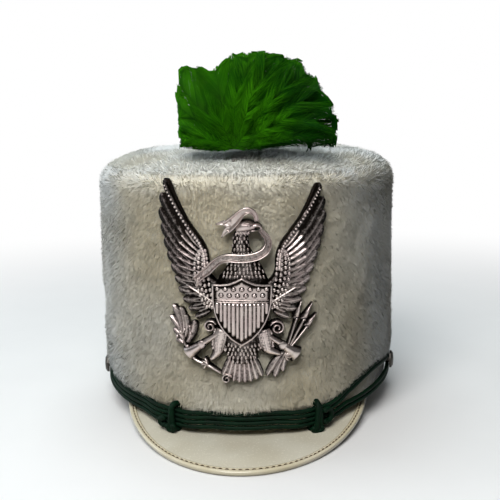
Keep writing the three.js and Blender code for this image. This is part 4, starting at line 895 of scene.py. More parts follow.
for table, count, tone in ((STREAMER, 30, 1.5), (LOOP, 64, 1.15)):
    form = spline(table, count)
    strip(eagle, form[:, :2], form[:, 2], form[:, 3], rimmed, 13, RIBBON_FOOT, tone)
for x, y, tip_x, tip_y, top in RIBBON_ENDS:
    share = np.linspace(0, 1, 9)
    middle = np.stack([lerp(x, tip_x, share), lerp(y, tip_y, share) + 0.5 * np.sin(share * math.pi)], -1)
    strip(eagle, middle, 2.4 * (1.02 - share) ** 0.7, top - 0.6 * share, rimmed, 7, RIBBON_FOOT, 1.4)

# %% [markdown]
# Two long guns cross behind the shield. A leafy branch is held on the left and three arrows on the right.
# Legs, curled ends, a fan of tail feathers and the arrows' fletching fill the foot of the badge.

# %%
# Guns, branch, arrows, legs and tail
GUN = [
    # x, y, half width, height
    (31.6, -2.0, 0.9, 3.4), (18.0, -10.0, 1.2, 3.6), (-4.0, -23.6, 1.3, 3.6), (-14.0, -30.2, 1.7, 4.0),
    (-21.0, -35.0, 2.1, 4.6), (-26.0, -38.8, 3.0, 4.9), (-30.0, -41.8, 4.2, 4.8), (-31.6, -43.0, 5.0, 4.4),
]
BRANCH = [(-30.0, -41.0, 0.9, 3.0), (-27.0, -46.0, 1.1, 3.2), (-19.0, -49.0, 1.3, 3.4), (-12.0, -53.0, 1.0, 3.2)]
TWIG = [(-31.0, -42.0, 0.7, 2.6), (-34.0, -36.0, 0.7, 2.6), (-35.5, -28.0, 0.5, 2.4)]
LEG_LEFT = [(-10.6, -27.0, 5.0, 4.8), (-12.4, -34.0, 4.6, 4.8), (-13.6, -40.0, 3.2, 4.4), (-17.4, -45.0, 1.6, 4.2)]
LEG_RIGHT = [(11.6, -27.0, 5.0, 4.8), (13.2, -34.0, 4.6, 4.8), (14.8, -38.6, 3.2, 4.4), (21.4, -41.6, 1.5, 4.2)]
LEAVES = [
    (-34.8, -32.0, -41.4, -14.6, 4.6), (-34.0, -31.0, -36.4, -15.8, 4.4), (-35.2, -32.0, -43.6, -21.4, 4.2),
    (-32.0, -36.0, -27.6, -22.8, 5.0), (-33.8, -35.4, -41.4, -29.0, 4.6), (-34.2, -37.0, -39.4, -35.2, 3.6),
    (-31.0, -36.0, -30.6, -26.0, 3.8), (-33.0, -33.0, -33.2, -20.0, 3.6),
]
BERRIES = [(-36.0, -30.4, 1.3), (-33.4, -28.6, 1.2), (-38.0, -33.0, 1.2), (-29.6, -30.6, 1.1), (-31.6, -38.4, 1.2)]
ARROWS = [(34.2, -11.2), (41.2, -12.6), (44.0, -19.2)]
GRIP = np.array([24.4, -41.8])
FLETCH = [
    (24.2, -40.0, 14.0, -54.6, 4.0), (24.8, -41.0, 18.6, -55.4, 4.0),
    (25.4, -41.0, 23.2, -52.6, 3.6), (23.2, -40.6, 16.4, -51.6, 3.2),
]
TAIL = [
    (-6.0, -42.0, -10.8, -54.6), (-4.4, -42.0, -8.0, -56.6), (-2.8, -41.6, -4.9, -57.9), (-1.0, -41.6, -1.6, -58.5),
    (1.0, -41.6, 1.8, -58.5), (2.8, -41.6, 5.1, -57.9), (4.4, -42.0, 8.3, -56.6), (6.0, -42.0, 11.2, -54.6),
]

for side in (-1, 1):
    gun = spline(mirrored(GUN, side), 40)
    lift = 0.25 * (side > 0)
    strip(eagle, gun[:, :2], gun[:, 2], gun[:, 3] + lift, dome, 9)
    for share in (0.18, 0.3, 0.62):
        x, y, half, top = gun[int(share * 39)]
        bead(eagle, x, y, half + 0.5, top - 0.5, 0.8, 8)
for table, count in ((BRANCH, 20), (TWIG, 14), (LEG_LEFT, 16), (LEG_RIGHT, 16)):
    form = spline(table, count)
    strip(eagle, form[:, :2], form[:, 2], form[:, 3], dome, 9)
for x0, y0, x1, y1, width in LEAVES:
    feather(eagle, (x0, y0), (x1, y1), width, 3.2, 0.06, 13)
for x, y, radius in BERRIES:
    bead(eagle, x, y, radius, 2.4, 1.4)
for tip in np.array(ARROWS):
    neck = lerp(tip, GRIP, 0.3)
    shaft = np.linspace(neck, GRIP, 12)
    strip(eagle, shaft, np.full(12, 0.75), np.full(12, 3.0), dome, 5)
    half = np.array([0.7, 2.7, 2.4, 1.4, 0.6, 0.08])
    run = np.array([0.06, -0.16, 0.02, 0.45, 0.8, 1.0])[:, None]
    tops = np.array([2.6, 2.8, 3.2, 3.0, 2.6, 2.0])
    strip(eagle, neck + (tip - neck) * run, half, tops, lambda s, t: 1 - 0.6 * np.abs(s), 5)
for x0, y0, x1, y1, width in FLETCH:
    feather(eagle, (x0, y0), (x1, y1), width, 3.4, 0.04, 12)
for k, (x0, y0, x1, y1) in enumerate(TAIL):
    feather(eagle, (x0, y0), (x1, y1), 4.3, 3.3 + 0.15 * (k % 2), 0.0, 18, blunt=True)
for table in (LEG_LEFT, LEG_RIGHT):
    for step, share in np.ndindex(5, 4):
        x, y, half, top = spline(table, 41)[2 + 5 * step]
        across = (share - 1.5) / 1.7
        low = top * math.sqrt(1 - 0.9 * across**2) - 0.5
        bead(eagle, x + across * half, y - 0.8 * (share % 2), 1.0, low, 1.0, 6, 1.9, 0.3 * across)
for foot, side in (((-19.0, -47.6), -1), ((24.0, -42.6), 1)):
    for turn in (-0.9, -0.3, 0.3, 0.9):
        claw = np.array([side * math.cos(turn), math.sin(turn)]) * 4.2
        toe = np.array(foot)
        feather(eagle, toe, toe + claw, 1.9, 4.8, 0.1, 7, dome, 7)


def volute(centre, radius, turns, spin, top):
    """A curled end, like a rolled paper scroll seen from its side."""
    t = np.linspace(0, 1, 34)
    angle = spin * turns * 2 * math.pi * t + (0.4 if spin > 0 else math.pi - 0.4)
    reach = radius * (1 - 0.82 * t)
    path = np.asarray(centre) + np.stack([reach * np.cos(angle), reach * np.sin(angle)], -1)
    strip(eagle, path, radius * lerp(0.26, 0.16, t), top + 0.8 * t, dome, 7)


volute((-17.8, -25.4), 3.6, 1.6, 1, 4.4)
volute((19.6, -26.0), 4.2, 1.6, -1, 4.4)
volute((-8.6, -56.2), 3.0, 1.4, 1, 3.6)
eagle_piece = eagle.build("eagle", ["eagle_badge"])

# %% [markdown]
# ## The shield
# The shield is a separate stamping over the eagle's breast. It is slightly domed inside a plain raised
# border, with two rows of small stars over a double line, and upright stripes below.

# %%
# The shield's outline and field
SHIELD_HALF, SHIELD_HEIGHT, SHIELD_LIFT = 15.9, 37.0, 5.1
SHIELD_EDGE = [
    (0, 0.11), (0.2, 0.06), (0.45, 0.015), (0.72, 0.0), (1.0, 0.0), (1.0, -0.14), (0.975, -0.31),
    (0.9, -0.47), (0.77, -0.61), (0.58, -0.74), (0.34, -0.855), (0, -0.955),
]
right = np.array(SHIELD_EDGE) * [SHIELD_HALF, SHIELD_HEIGHT]
left = right[1:-1][::-1] * [-1, 1]
outline = np.concatenate([right, left])
fine = []
for i in range(len(outline)):
    a, b = outline[i], outline[(i + 1) % len(outline)]
    fine.extend(lerp(a, b, k / 5) for k in range(5))
outline = np.array(fine)
centre = np.array([0, -0.42 * SHIELD_HEIGHT])


def shield_top(points):
    across = (points[..., 0] / SHIELD_HALF) ** 2
    return SHIELD_LIFT + 1.3 + 1.4 * (1 - 0.8 * across)


shield = Gather()
rings, marks = [], []
LINE_HEIGHT, LINE_GAP, STRIPES = -0.24, 1.25, 13
for scale, low, mark in (
    (1.0, None, 0.1), (1.0, 0.5, 0.9), (0.965, 0.75, 1.0), (0.935, 0.5, 0.4), (0.92, 0.0, 0.1),
    (0.8, 0, 1), (0.68, 0, 1), (0.56, 0, 1), (0.44, 0, 1), (0.32, 0, 1), (0.2, 0, 1), (0.08, 0, 1),
):
    flat = centre + (outline - centre) * scale
    top = SHIELD_LIFT + 0 * flat[:, 0] if low is None else shield_top(flat) + low
    rings.append(np.concatenate([flat, top[:, None]], -1))
    upper = flat[:, 1] > LINE_HEIGHT * SHIELD_HEIGHT
    marks.extend(mark * np.where(upper | (scale > 0.9), 1.0, 0.6))
faces = grid_faces(len(rings), len(outline), wrap_columns=True)
top_cap = fan_faces(len(outline) * (len(rings) - 1), len(outline), len(outline) * len(rings))
middle = np.array([[*centre, shield_top(centre)]])
shield.add(on_crown(np.concatenate([*rings, middle])), faces[:, ::-1], top_cap[:, ::-1], relief=[*marks, 0.9])
back = np.array([[*centre, SHIELD_LIFT]])
back_cap = fan_faces(0, len(outline), len(outline))
shield.add(on_crown(np.concatenate([rings[0], back])), tris=back_cap, relief=0.1)


def raised(middle, half, tall):
    """A low bar with a flat top on the shield's face."""
    flat = np.asarray(middle, float)
    half = np.broadcast_to(half, len(flat))
    strip(shield, flat, half, shield_top(flat) + tall, lambda s, t: 1 - 0.035 * s**4, 5, SHIELD_LIFT + 0.4)


def low_edge(x):
    lower = right[4:]
    return np.interp(abs(x), lower[::-1, 0], lower[::-1, 1])


# %%
# Stripes, lines and stars
pitch = 2 * 0.9 * SHIELD_HALF / STRIPES
for k in range(STRIPES):
    x = (k - (STRIPES - 1) / 2) * pitch
    low = low_edge(abs(x) + 0.3) + 2.6
    high = LINE_HEIGHT * SHIELD_HEIGHT - 1.9
    if high - low > 1:
        raised(np.stack([np.full(12, x), np.linspace(high, low, 12)], -1), (0.4 - 0.08 * (k % 2)) * pitch, 0.3)
for drop in (0, LINE_GAP):
    y = LINE_HEIGHT * SHIELD_HEIGHT - drop
    raised(np.stack([np.linspace(-0.9, 0.9, 24) * SHIELD_HALF, np.full(24, y)], -1), 0.26, 0.4)


PAD_REACH, PAD_RISE, STAR_SIZE, STAR_PITCH = 0.98, 0.08, 1.55, 0.275


def star(x, y, size):
    """A five-pointed star on a low round pad."""
    turn = math.pi / 2 + np.arange(10) * math.pi / 5
    reach = np.where(np.arange(10) % 2, 0.5, 1.0) * size
    flat = np.stack([x + reach * np.cos(turn), y + reach * np.sin(turn)], -1)
    top = shield_top(flat)
    low = np.concatenate([flat, top[:, None] - 0.2], -1)
    rim = np.concatenate([flat, top[:, None] + 0.4], -1)
    tip = np.array([[x, y, float(shield_top(np.array([x, y]))) + 0.6]])
    marks = [0.1] * 10 + [0.9] * 10 + [1.0]
    whole = on_crown(np.concatenate([low, rim, tip]))
    shield.add(whole, grid_faces(2, 10, wrap_columns=True), fan_faces(10, 10, 20), relief=marks)
    around = np.arange(12) * math.pi / 6
    pad = np.stack([x + PAD_REACH * size * np.cos(around), y + PAD_REACH * size * np.sin(around)], -1)
    pad = np.concatenate([pad, (shield_top(pad) + PAD_RISE)[:, None]], -1)
    middle = [[x, y, float(shield_top(np.array([x, y]))) + PAD_RISE]]
    whole = on_crown(np.concatenate([pad - [0, 0, 0.4], pad, middle]))
    shield.add(whole, grid_faces(2, 12, wrap_columns=True), fan_faces(12, 12, 24), relief=0.45)


for count, y in ((7, -0.07), (6, -0.165)):
    for k in range(count):
        star((k - (count - 1) / 2) * SHIELD_HALF * STAR_PITCH, y * SHIELD_HEIGHT, STAR_SIZE)
shield_piece = shield.build("shield", ["badge_shield"])

# %% [markdown]
# The metal is a dull silver with a faint warm pink where it is rubbed. Blackening fills everything low,
# and the polish breaks it up in small flecks.

# %%
# The antique metal
graph = Graph("antique_silver")
relief = graph.mark("relief")
worn = graph.noise(2.2, 3, 0.6)
pits = graph.noise(0.9, 3, 0.7)
high = (relief + (worn - 0.5) * 0.5 + (pits - 0.5) * 0.55).span(0.45, 1.02)
silver = graph.mix(graph.noise(14, 2).span(0.3, 0.7), colour("cdbcb8"), colour("dccfc8"))
tone = graph.mix(high, colour("1b1613"), silver)
metal = graph.finish({
    "Base Color": tone,
    "Metallic": 1.0,
    "Roughness": high.span(0, 1, 0.5, 0.32) + (pits - 0.5) * 0.16,
    "Normal": graph.bump(pits * 0.5 + worn * 0.5, 0.12, 0.6),
})
for piece in (eagle_piece, shield_piece):
    piece.data.materials.append(metal)

# %% [markdown]
# ## The peak
# The peak is stiff board under glossy cream vinyl. It springs from the rim, swells a little and falls to
# a rounded front edge. A strip of the same vinyl is folded over the edge and stitched through both faces.

# %%
# The peak's surface
PEAK_REACH, PEAK_EDGE_HALF, PEAK_EDGE_SET, PEAK_FALL = 55.2, 76.2, 50.0, 4.4
PEAK_THICKNESS, PEAK_EDGE_THICKNESS, PEAK_ROOT_RISE, PEAK_CROWN = 1.9, 1.2, -0.6, 0.9
PEAK_HALF_ANGLE, PEAK_FLAT_SHARE, PEAK_POINT = math.radians(61), 0.27, 1.29
BINDING_WIDTH, BINDING_WALL, GAP = 4.0, 0.6, 0.3
PEAK_SLOPE = PEAK_FALL / (2 * HALF_LENGTH + PEAK_REACH)


def peak_middle(along, across):
    along, across = np.broadcast_arrays(np.asarray(along, float), np.asarray(across, float))
    angle, turn = along * PEAK_HALF_ANGLE, along * math.pi / 2
    root_height = RIM_SIDE_RISE * np.sin(angle) ** 2 + PEAK_ROOT_RISE + PEAK_THICKNESS / 2
    root = crown(angle, GAP, root_height)
    reach = HALF_LENGTH + PEAK_REACH - PEAK_EDGE_SET
    edge_y = -PEAK_EDGE_SET - reach * np.clip(np.cos(turn), 0, 1) ** PEAK_POINT
    rest = -(HALF_LENGTH - edge_y) * PEAK_SLOPE + BINDING_WALL + GAP + PEAK_EDGE_THICKNESS / 2
    lifted = smooth(np.abs(along), PEAK_FLAT_SHARE, 1)
    edge = np.stack([PEAK_EDGE_HALF * np.sin(turn), edge_y, lerp(rest, root_height, lifted)], -1)
    middle = lerp(root, edge, across[..., None])
    middle[..., 2] += PEAK_CROWN * np.cos(turn) * np.sin(across * math.pi)
    return middle


def peak_frame(along, across):
    out = unit(peak_middle(along, across) - peak_middle(along, across - 0.01))
    before, after = np.clip(along - 0.01, -1, 1), np.clip(along + 0.01, -1, 1)
    around = unit(peak_middle(after, across) - peak_middle(before, across))
    return out, unit(-np.cross(around, out))


PEAK_COLUMNS, PEAK_ROWS = 121, 25
along = np.linspace(-1, 1, PEAK_COLUMNS)[:, None]
across = np.linspace(0, 1, PEAK_ROWS)[None, :]
base = peak_middle(along, across)
thick = lerp(PEAK_THICKNESS, PEAK_EDGE_THICKNESS, lerp(across, 1, along**4))[..., None] * np.array([0, 0, 0.5])
section = np.concatenate([base + thick, (base - thick)[:, ::-1]], 1)
peak = Gather()
count = section.shape[1]
peak.add(section, grid_faces(PEAK_COLUMNS, count, wrap_columns=True))
for end, flip in ((0, -1), (PEAK_COLUMNS - 1, 1)):
    strips = [[k, k + 1, count - 2 - k, count - 1 - k][::flip] for k in range(PEAK_ROWS - 1)]
    peak.add(section[end], strips)
peak_piece = peak.build("peak_board", ["peak"])

# %%
# The binding, pressed in along the stitches, with painted shade in that pressed line and along its inner edge
SLOT = PEAK_EDGE_THICKNESS / 2 + GAP
BINDING_SECTION = [
    # out from the edge, up, painted shade
    (-BINDING_WIDTH, SLOT, 1), (-4.06, 1.2, 1), (-3.85, 1.42, 0.9), (-3.4, 1.5, 0.1), (-2.6, 1.5, 0),
    (-2.2, 1.38, 0.3),
    (-1.9, 1.28, 0.6), (-1.6, 1.38, 0.3), (-1.2, 1.5, 0), (-0.4, 1.48, 0), (0.3, 1.3, 0), (0.7, 0.95, 0),
    (0.9, 0.4, 0), (0.9, -0.4, 0),
    (0.7, -0.95, 0), (0.3, -1.3, 0), (-0.5, -1.48, 0), (-2.2, -1.5, 0.2), (-3.6, -1.5, 0),
    (-4.06, -1.2, 1), (-BINDING_WIDTH, -SLOT, 1), (GAP, -SLOT, 0.5), (GAP, SLOT, 0.5),
]
BINDING_END, BINDING_STEPS = 1 - 2 / 24, 260
along = np.linspace(-BINDING_END, BINDING_END, BINDING_STEPS)
edge = peak_middle(along, 1.0)
out, up = peak_frame(along, np.ones(BINDING_STEPS))
profile = np.array(BINDING_SECTION)
ring = edge[:, None] + out[:, None] * profile[:, :1] + up[:, None] * profile[:, 1:2]
count = len(profile)
binding = Gather()
faces = grid_faces(BINDING_STEPS, count, wrap_columns=True)
binding.add(ring, faces, groove=np.tile(profile[:, 2], BINDING_STEPS))
TURN_POINT = 14
fan = [(count - 1, k, k + 1) for k in range(TURN_POINT)] + [(count - 1, TURN_POINT, count - 2)]
fan = np.array(fan + [(count - 2, k, k + 1) for k in range(TURN_POINT, count - 3)])
binding.add(ring[0], tris=fan[:, ::-1], groove=0)
binding.add(ring[-1], tris=fan, groove=0)
binding_piece = binding.build("peak_edge", ["peak_binding"])

# %% [markdown]
# The binding's stitches are a thick tan thread, about seven to the inch. Each one sinks at both ends and
# lies proud in between, on the upper face and again underneath.

# %%
# The stitches
STITCH_PITCH, STITCH_LENGTH, STITCH_RADIUS, STITCH_SET, STITCH_RISE = 3.7, 2.3, 0.4, 1.9, 1.6
walk = np.linspace(-BINDING_END + 0.012, BINDING_END - 0.012, 1500)
line = peak_middle(walk, 1.0)
length = np.concatenate([[0], np.cumsum(np.linalg.norm(np.diff(line, axis=0), axis=-1))])
thread = Gather()
for place in np.arange(1.5, length[-1] - 1.5, STITCH_PITCH):
    t = np.linspace(-0.5, 0.5, 7)
    at = np.interp(place + t * STITCH_LENGTH, length, walk)
    out, up = peak_frame(at, np.ones(7))
    for side in (1, -1):
        rise = STITCH_RISE - 1.6 * np.abs(t) ** 2.2
        wander = STITCH_SET + 0.1 * math.sin(place * 2.1)
        path = peak_middle(at, 1.0) - out * wander + up * (side * rise)[:, None]
        tube(thread, path, STITCH_RADIUS * np.sqrt(1 - 3.1 * t**2), 6, up * side)
thread_piece = thread.build("peak_stitches")

# %% [markdown]
# The vinyl is glossy under a thin clear skin, with the very fine leather-like print that such vinyl has and a
# little dust in the dips. Painted shade darkens the binding along its inner edge and its stitch line, and the thread
# is a darker tan.

# %%
# Vinyl and thread
def vinyl(name, code, edge_code, grain_mm, bump_mm):
    graph = Graph(name)
    broad = graph.noise(30, 2).span(0.3, 0.7)
    fine = graph.noise(grain_mm, 3, 0.6)
    tone = graph.mix(broad, colour(code), colour(edge_code))
    if name == "binding_vinyl":
        # painted shade: the binding is painted dark brown along its inner edge, in its pressed stitch line and in
        # its slot
        tone = graph.mix(graph.mark("groove"), tone, colour("8f7850"))
    specks = graph.noise(2.4, 4, 0.7).span(0.62, 0.72)
    return graph.finish({
        "Base Color": graph.mix(specks * 0.25, tone, colour("b7a88c")),
        "Roughness": 0.2 + fine * 0.12,
        "Coat Weight": 0.5,
        "Coat Roughness": 0.12,
        "Specular IOR Level": 0.5,
        "Normal": graph.bump(fine, bump_mm, 0.35),
    })


peak_piece.data.materials.append(vinyl("peak_vinyl", "dad5c3", "cfc8b3", 1.1, 0.04))
binding_piece.data.materials.append(vinyl("binding_vinyl", "ded5bb", "d2c7a8", 0.9, 0.05))
graph = Graph("tan_thread")
twist = graph.noise(0.7, 2, 0.5)
thread_piece.data.materials.append(graph.finish({
    "Base Color": graph.mix(twist, colour("2e2315"), colour("6d5636")),
    "Roughness": 0.75,
    "Normal": graph.bump(twist, 0.1, 0.6),
}))

# %% [markdown]
# ## The cord
# Two long loops of braided rayon cord run round the front from button to button. Their four runs lie
# side by side between the knots and part a little on the way to the buttons. The braid is drawn as two
# sets of strands that wind opposite ways, each a low ridge on the cord.

# %%
# The loops
WRAP_RADIUS, WRAP_SLACK, DRAWN_RADIUS = 1.05, 0.6, 1.7
BRAID_LENGTH, BRAID_RELIEF, SHANK_RADIUS = 3.6, 0.13, 2.2
CORD_DEPTH = PRESSED_DEPTH + 0.2 + GAP + CORD_RADIUS
KNOT_BORE = CORD_RADIUS + WRAP_SLACK
KNOT_DEPTH = PRESSED_DEPTH + 0.2 + GAP + 2 * WRAP_RADIUS + KNOT_BORE
LOOP_RADIUS = SHANK_RADIUS + 2 * GAP + CORD_RADIUS


def strand_point(angle, away):
    depth = lerp(CORD_DEPTH, KNOT_DEPTH, near_knot(angle))
    return crown(angle, depth, above_rim(angle, cord_middle(angle) + away))


def loop_path(row):
    points, outs = [], []
    radius = LOOP_RADIUS + row * CORD_PITCH
    for side in (-1, 1):
        angle = side * np.linspace(-BUTTON_ANGLE, BUTTON_ANGLE, 700)[:-1]
        points.append(strand_point(angle, side * ((row + 0.5) * CORD_PITCH + cord_spread(angle))))
        outs.append(crown_normal(angle))
        turn = np.linspace(0, math.pi, 40)[:-1]
        end = np.full(39, side * BUTTON_ANGLE)
        normal = crown_normal(end)
        tangent = np.stack([-normal[:, 1], normal[:, 0], 0 * end], -1)
        slide = tangent * (side * radius * np.sin(turn))[:, None]
        points.append(strand_point(end, side * radius * np.cos(turn)) + slide)
        outs.append(normal)
    return np.concatenate(points), np.concatenate(outs)


def along_path(path, closed):
    steps = np.linalg.norm(np.diff(np.concatenate([path, path[:1]]) if closed else path, axis=0), axis=-1)
    return np.concatenate([[0], np.cumsum(steps)])


def braided(gather, path, outs, radius, closed=False, sides=10, step=0.6):
    """A cord of two opposed sets of ridges, taken at even steps along its path."""
    length = along_path(path, closed)
    count = int(length[-1] / step)
    at = np.linspace(0, length[-1], count, endpoint=not closed)
    wrap = (lambda a: np.concatenate([a, a[:1]])) if closed else (lambda a: a)
    even = np.stack([np.interp(at, length, wrap(path)[:, k]) for k in range(3)], -1)
    out = unit(np.stack([np.interp(at, length, wrap(outs)[:, k]) for k in range(3)], -1))
    turn = np.arange(sides) / sides * 2 * math.pi
    wind = at[:, None] * (2 * math.pi / BRAID_LENGTH)
    one, two = np.sin(2 * turn + wind), np.sin(2 * turn - wind)
    rise = np.maximum(np.abs(one), np.abs(two))
    reach = radius * (1 - BRAID_RELIEF + BRAID_RELIEF * rise)
    if not closed:
        ends = np.minimum(at, at[-1] - at)[:, None]
        reach = reach * np.sqrt(np.clip(ends / radius, 0.02, 1) * (2 - np.clip(ends / radius, 0.02, 1)))
    tube(gather, even, reach, sides, out, closed)


for row, name, node in ((0, "cord_inner", "cord_inner_loop"), (1, "cord_outer", "cord_outer_loop")):
    loop = Gather()
    path, outs = loop_path(row)
    braided(loop, path, outs, CORD_RADIUS, closed=True)
    loop.build(name, [node])

# %% [markdown]
# ## The slide knots
# Each knot is a short length of thicker cord wound round the four runs, with its ends tucked behind. The
# turns slant a little and are never quite level, so their bends stand out at the top and the bottom as
# small round knobs. Two small loops lie beside the turns.

# %%
# Wound knots
def knot(name, node, side, turns, lobes):
    """turns holds each one's start, finish, swell and slant, lobes the places of each small loop."""
    angle = side * KNOT_ANGLE
    centre = strand_point(np.array(angle), 0.0)
    normal = crown_normal(angle)
    ahead, behind = strand_point(np.array(angle + 0.0175), 0.0), strand_point(np.array(angle - 0.0175), 0.0)
    along = unit(ahead - behind)
    upward = np.cross(normal, along)
    straight = 1.5 * CORD_PITCH
    reach = KNOT_BORE + DRAWN_RADIUS - 0.4
    made = Gather()
    for start, finish, swell, slant in turns:
        turn = np.linspace(math.pi * 1.5, -math.pi * 0.5, 90)
        up = np.cos(turn) * (reach + swell) + straight * np.clip(np.cos(turn) * 2.2, -1, 1)
        slide = np.linspace(start, finish, 90) + side * slant * up
        forward = normal * (np.sin(turn) * (reach + 0.5 * swell))[:, None]
        path = centre + along * slide[:, None] + forward + upward * up[:, None]
        braided(made, path, np.broadcast_to(normal, path.shape), DRAWN_RADIUS, step=0.5)
    for points in lobes:
        form = spline(points, 40)
        path = centre + along * form[:, :1] + upward * form[:, 1:2] + normal * form[:, 2:]
        braided(made, path, np.broadcast_to(normal, path.shape), DRAWN_RADIUS, step=0.5)
    made.build(name, [node])


LEFT_TURNS = [(3.6, 0.2, 0.0, 0.1), (-0.8, 3.0, 0.9, 0.02)]
RIGHT_TURNS = [(2.6, 0.4, 0.0, 0.05), (-2.6, 1.4, 0.9, 0.12)]
LEFT_LOBES = [
    # along the loops, up, and out from the crown
    [(-1.0, -4.0, 4.4), (-0.8, -6.4, 3.6), (1.2, -7.6, 3.2), (3.4, -7.0, 3.6), (3.8, -4.8, 4.2), (2.4, -3.2, 4.8)],
    [(-2.4, -1.6, 3.8), (-5.0, -1.4, 3.4), (-6.9, -3.0, 2.8), (-6.2, -5.2, 2.8), (-4.0, -5.6, 3.2),
     (-2.4, -4.4, 3.8)],
]
RIGHT_LOBES = [
    [(3.4, 2.4, 3.6), (7.2, 3.4, 2.6), (9.9, 0.8, 1.4), (9.4, -3.2, 1.4), (6.2, -4.6, 2.4), (3.2, -3.2, 3.6)],
    [(-2.6, -5.0, 3.0), (-3.4, -7.6, 2.6), (-0.8, -8.9, 2.8), (1.8, -7.8, 3.2), (2.0, -5.2, 3.8)],
]
knot("slide_knot_left", "knot_left", -1, LEFT_TURNS, LEFT_LOBES)
knot("slide_knot_right", "knot_right", 1, RIGHT_TURNS, RIGHT_LOBES)

# %% [markdown]
# The rayon is a deep bottle green with little shine. Single fibres that catch the light carry a painted highlight of
# a cooler, lighter green, and the grooves between them are painted nearly black, as shade.

# %%
# The cord's material
graph = Graph("green_cord")
fibre = graph.noise(0.5, 3, 0.6)
broad = graph.noise(9, 2).span(0.3, 0.7)
tone = graph.mix(broad, colour("011509"), colour("02200f"))
# painted highlight: single fibres painted a cooler, lighter green where they catch the light
tone = graph.mix(fibre.span(0.6, 0.82), tone, colour("0f6a42"))
cord_material = graph.finish({
    # painted shade: the gaps between fibres are painted nearly black
    "Base Color": graph.mix(fibre.span(0.2, 0.42), colour("020c05"), tone),
    "Roughness": 0.5 + fibre * 0.2,
    "Specular IOR Level": 0.12,
    "Normal": graph.bump(fibre, 0.12, 0.6),
})
for name in ("cord_inner", "cord_outer", "slide_knot_left", "slide_knot_right"):
    bpy.data.objects[name].data.materials.append(cord_material)

# %% [markdown]
# ## The plume
# A short wire stem carries a bunch of dyed feathers. Broad flat vanes make a fan at the left, and longer
# ones a round dome over the rest, with loose fluff before them. Every feather has a bent shaft with two
# rows of long fine barbs. All the barbs are trimmed to one rounded outline, as a florist trims them.

# %%
# The outline, the trim and the feather maker
PLUME_FOOT = np.array([-4.0, -86.0, SHELL_HEIGHT + 11.7])
PLUME_SIZE, PLUME_FLATNESS, SHAFT_TRIM = 60.0, 0.4, 0.97
OUTLINE = np.array([
    # degrees from the hat's right, reach
    (-30, 0.80), (3, 0.98), (9, 1.01), (20, 1.06), (37, 1.05), (55, 1.06), (62, 1.035), (73, 1.0),
    (82, 0.955), (88, 0.92), (90, 0.95), (92, 0.91), (98, 0.86), (105, 0.80), (112, 0.90), (118, 0.945),
    (123, 0.95), (132, 0.81), (146, 0.64), (166, 0.53), (210, 0.48),
])


def bezier(a, b, c, t):
    t = t[:, None]
    return a * (1 - t) ** 2 + 2 * b * t * (1 - t) + c * t**2


def resting_height(points):
    """How low the barbs hang: onto the deck behind, and onto the fur's front edge before it."""
    ahead, across = PLUME_FOOT[1] - points[:, 1], np.abs(points[:, 0] - PLUME_FOOT[0])
    x, y = points[:, 0], points[:, 1]
    ragged = 1.1 * np.sin(x * 1.7 + y * 0.9) + 0.7 * np.sin(x * 3.1 - y * 1.3)
    rest = 4.5 * smooth(ahead, -8, 0) + 3.2 * smooth(ahead, 1, 9) + 2.4 * smooth(across, 8, 30)
    return PLUME_FOOT[2] - 2.3 + rest + 1.3 * ragged * smooth(across, 2, 6)


def trimmed(points, loose):
    """Points of the bunch drawn in to its outline. loose is each one's own share of that reach."""
    away = points - PLUME_FOOT
    length = np.maximum(np.linalg.norm(away, axis=-1), 1e-6)
    turn = np.degrees(np.arctan2(away[:, 2], away[:, 0]))
    turn = np.where(turn < -90, turn + 360, turn)
    flatter = 1 - PLUME_FLATNESS * (away[:, 1] / length) ** 2
    most = np.interp(turn, OUTLINE[:, 0], OUTLINE[:, 1]) * PLUME_SIZE * flatter * loose
    kept = PLUME_FOOT + away * np.minimum(1, most / length)[:, None]
    return np.stack([kept[:, 0], kept[:, 1], np.maximum(kept[:, 2], resting_height(kept))], -1)


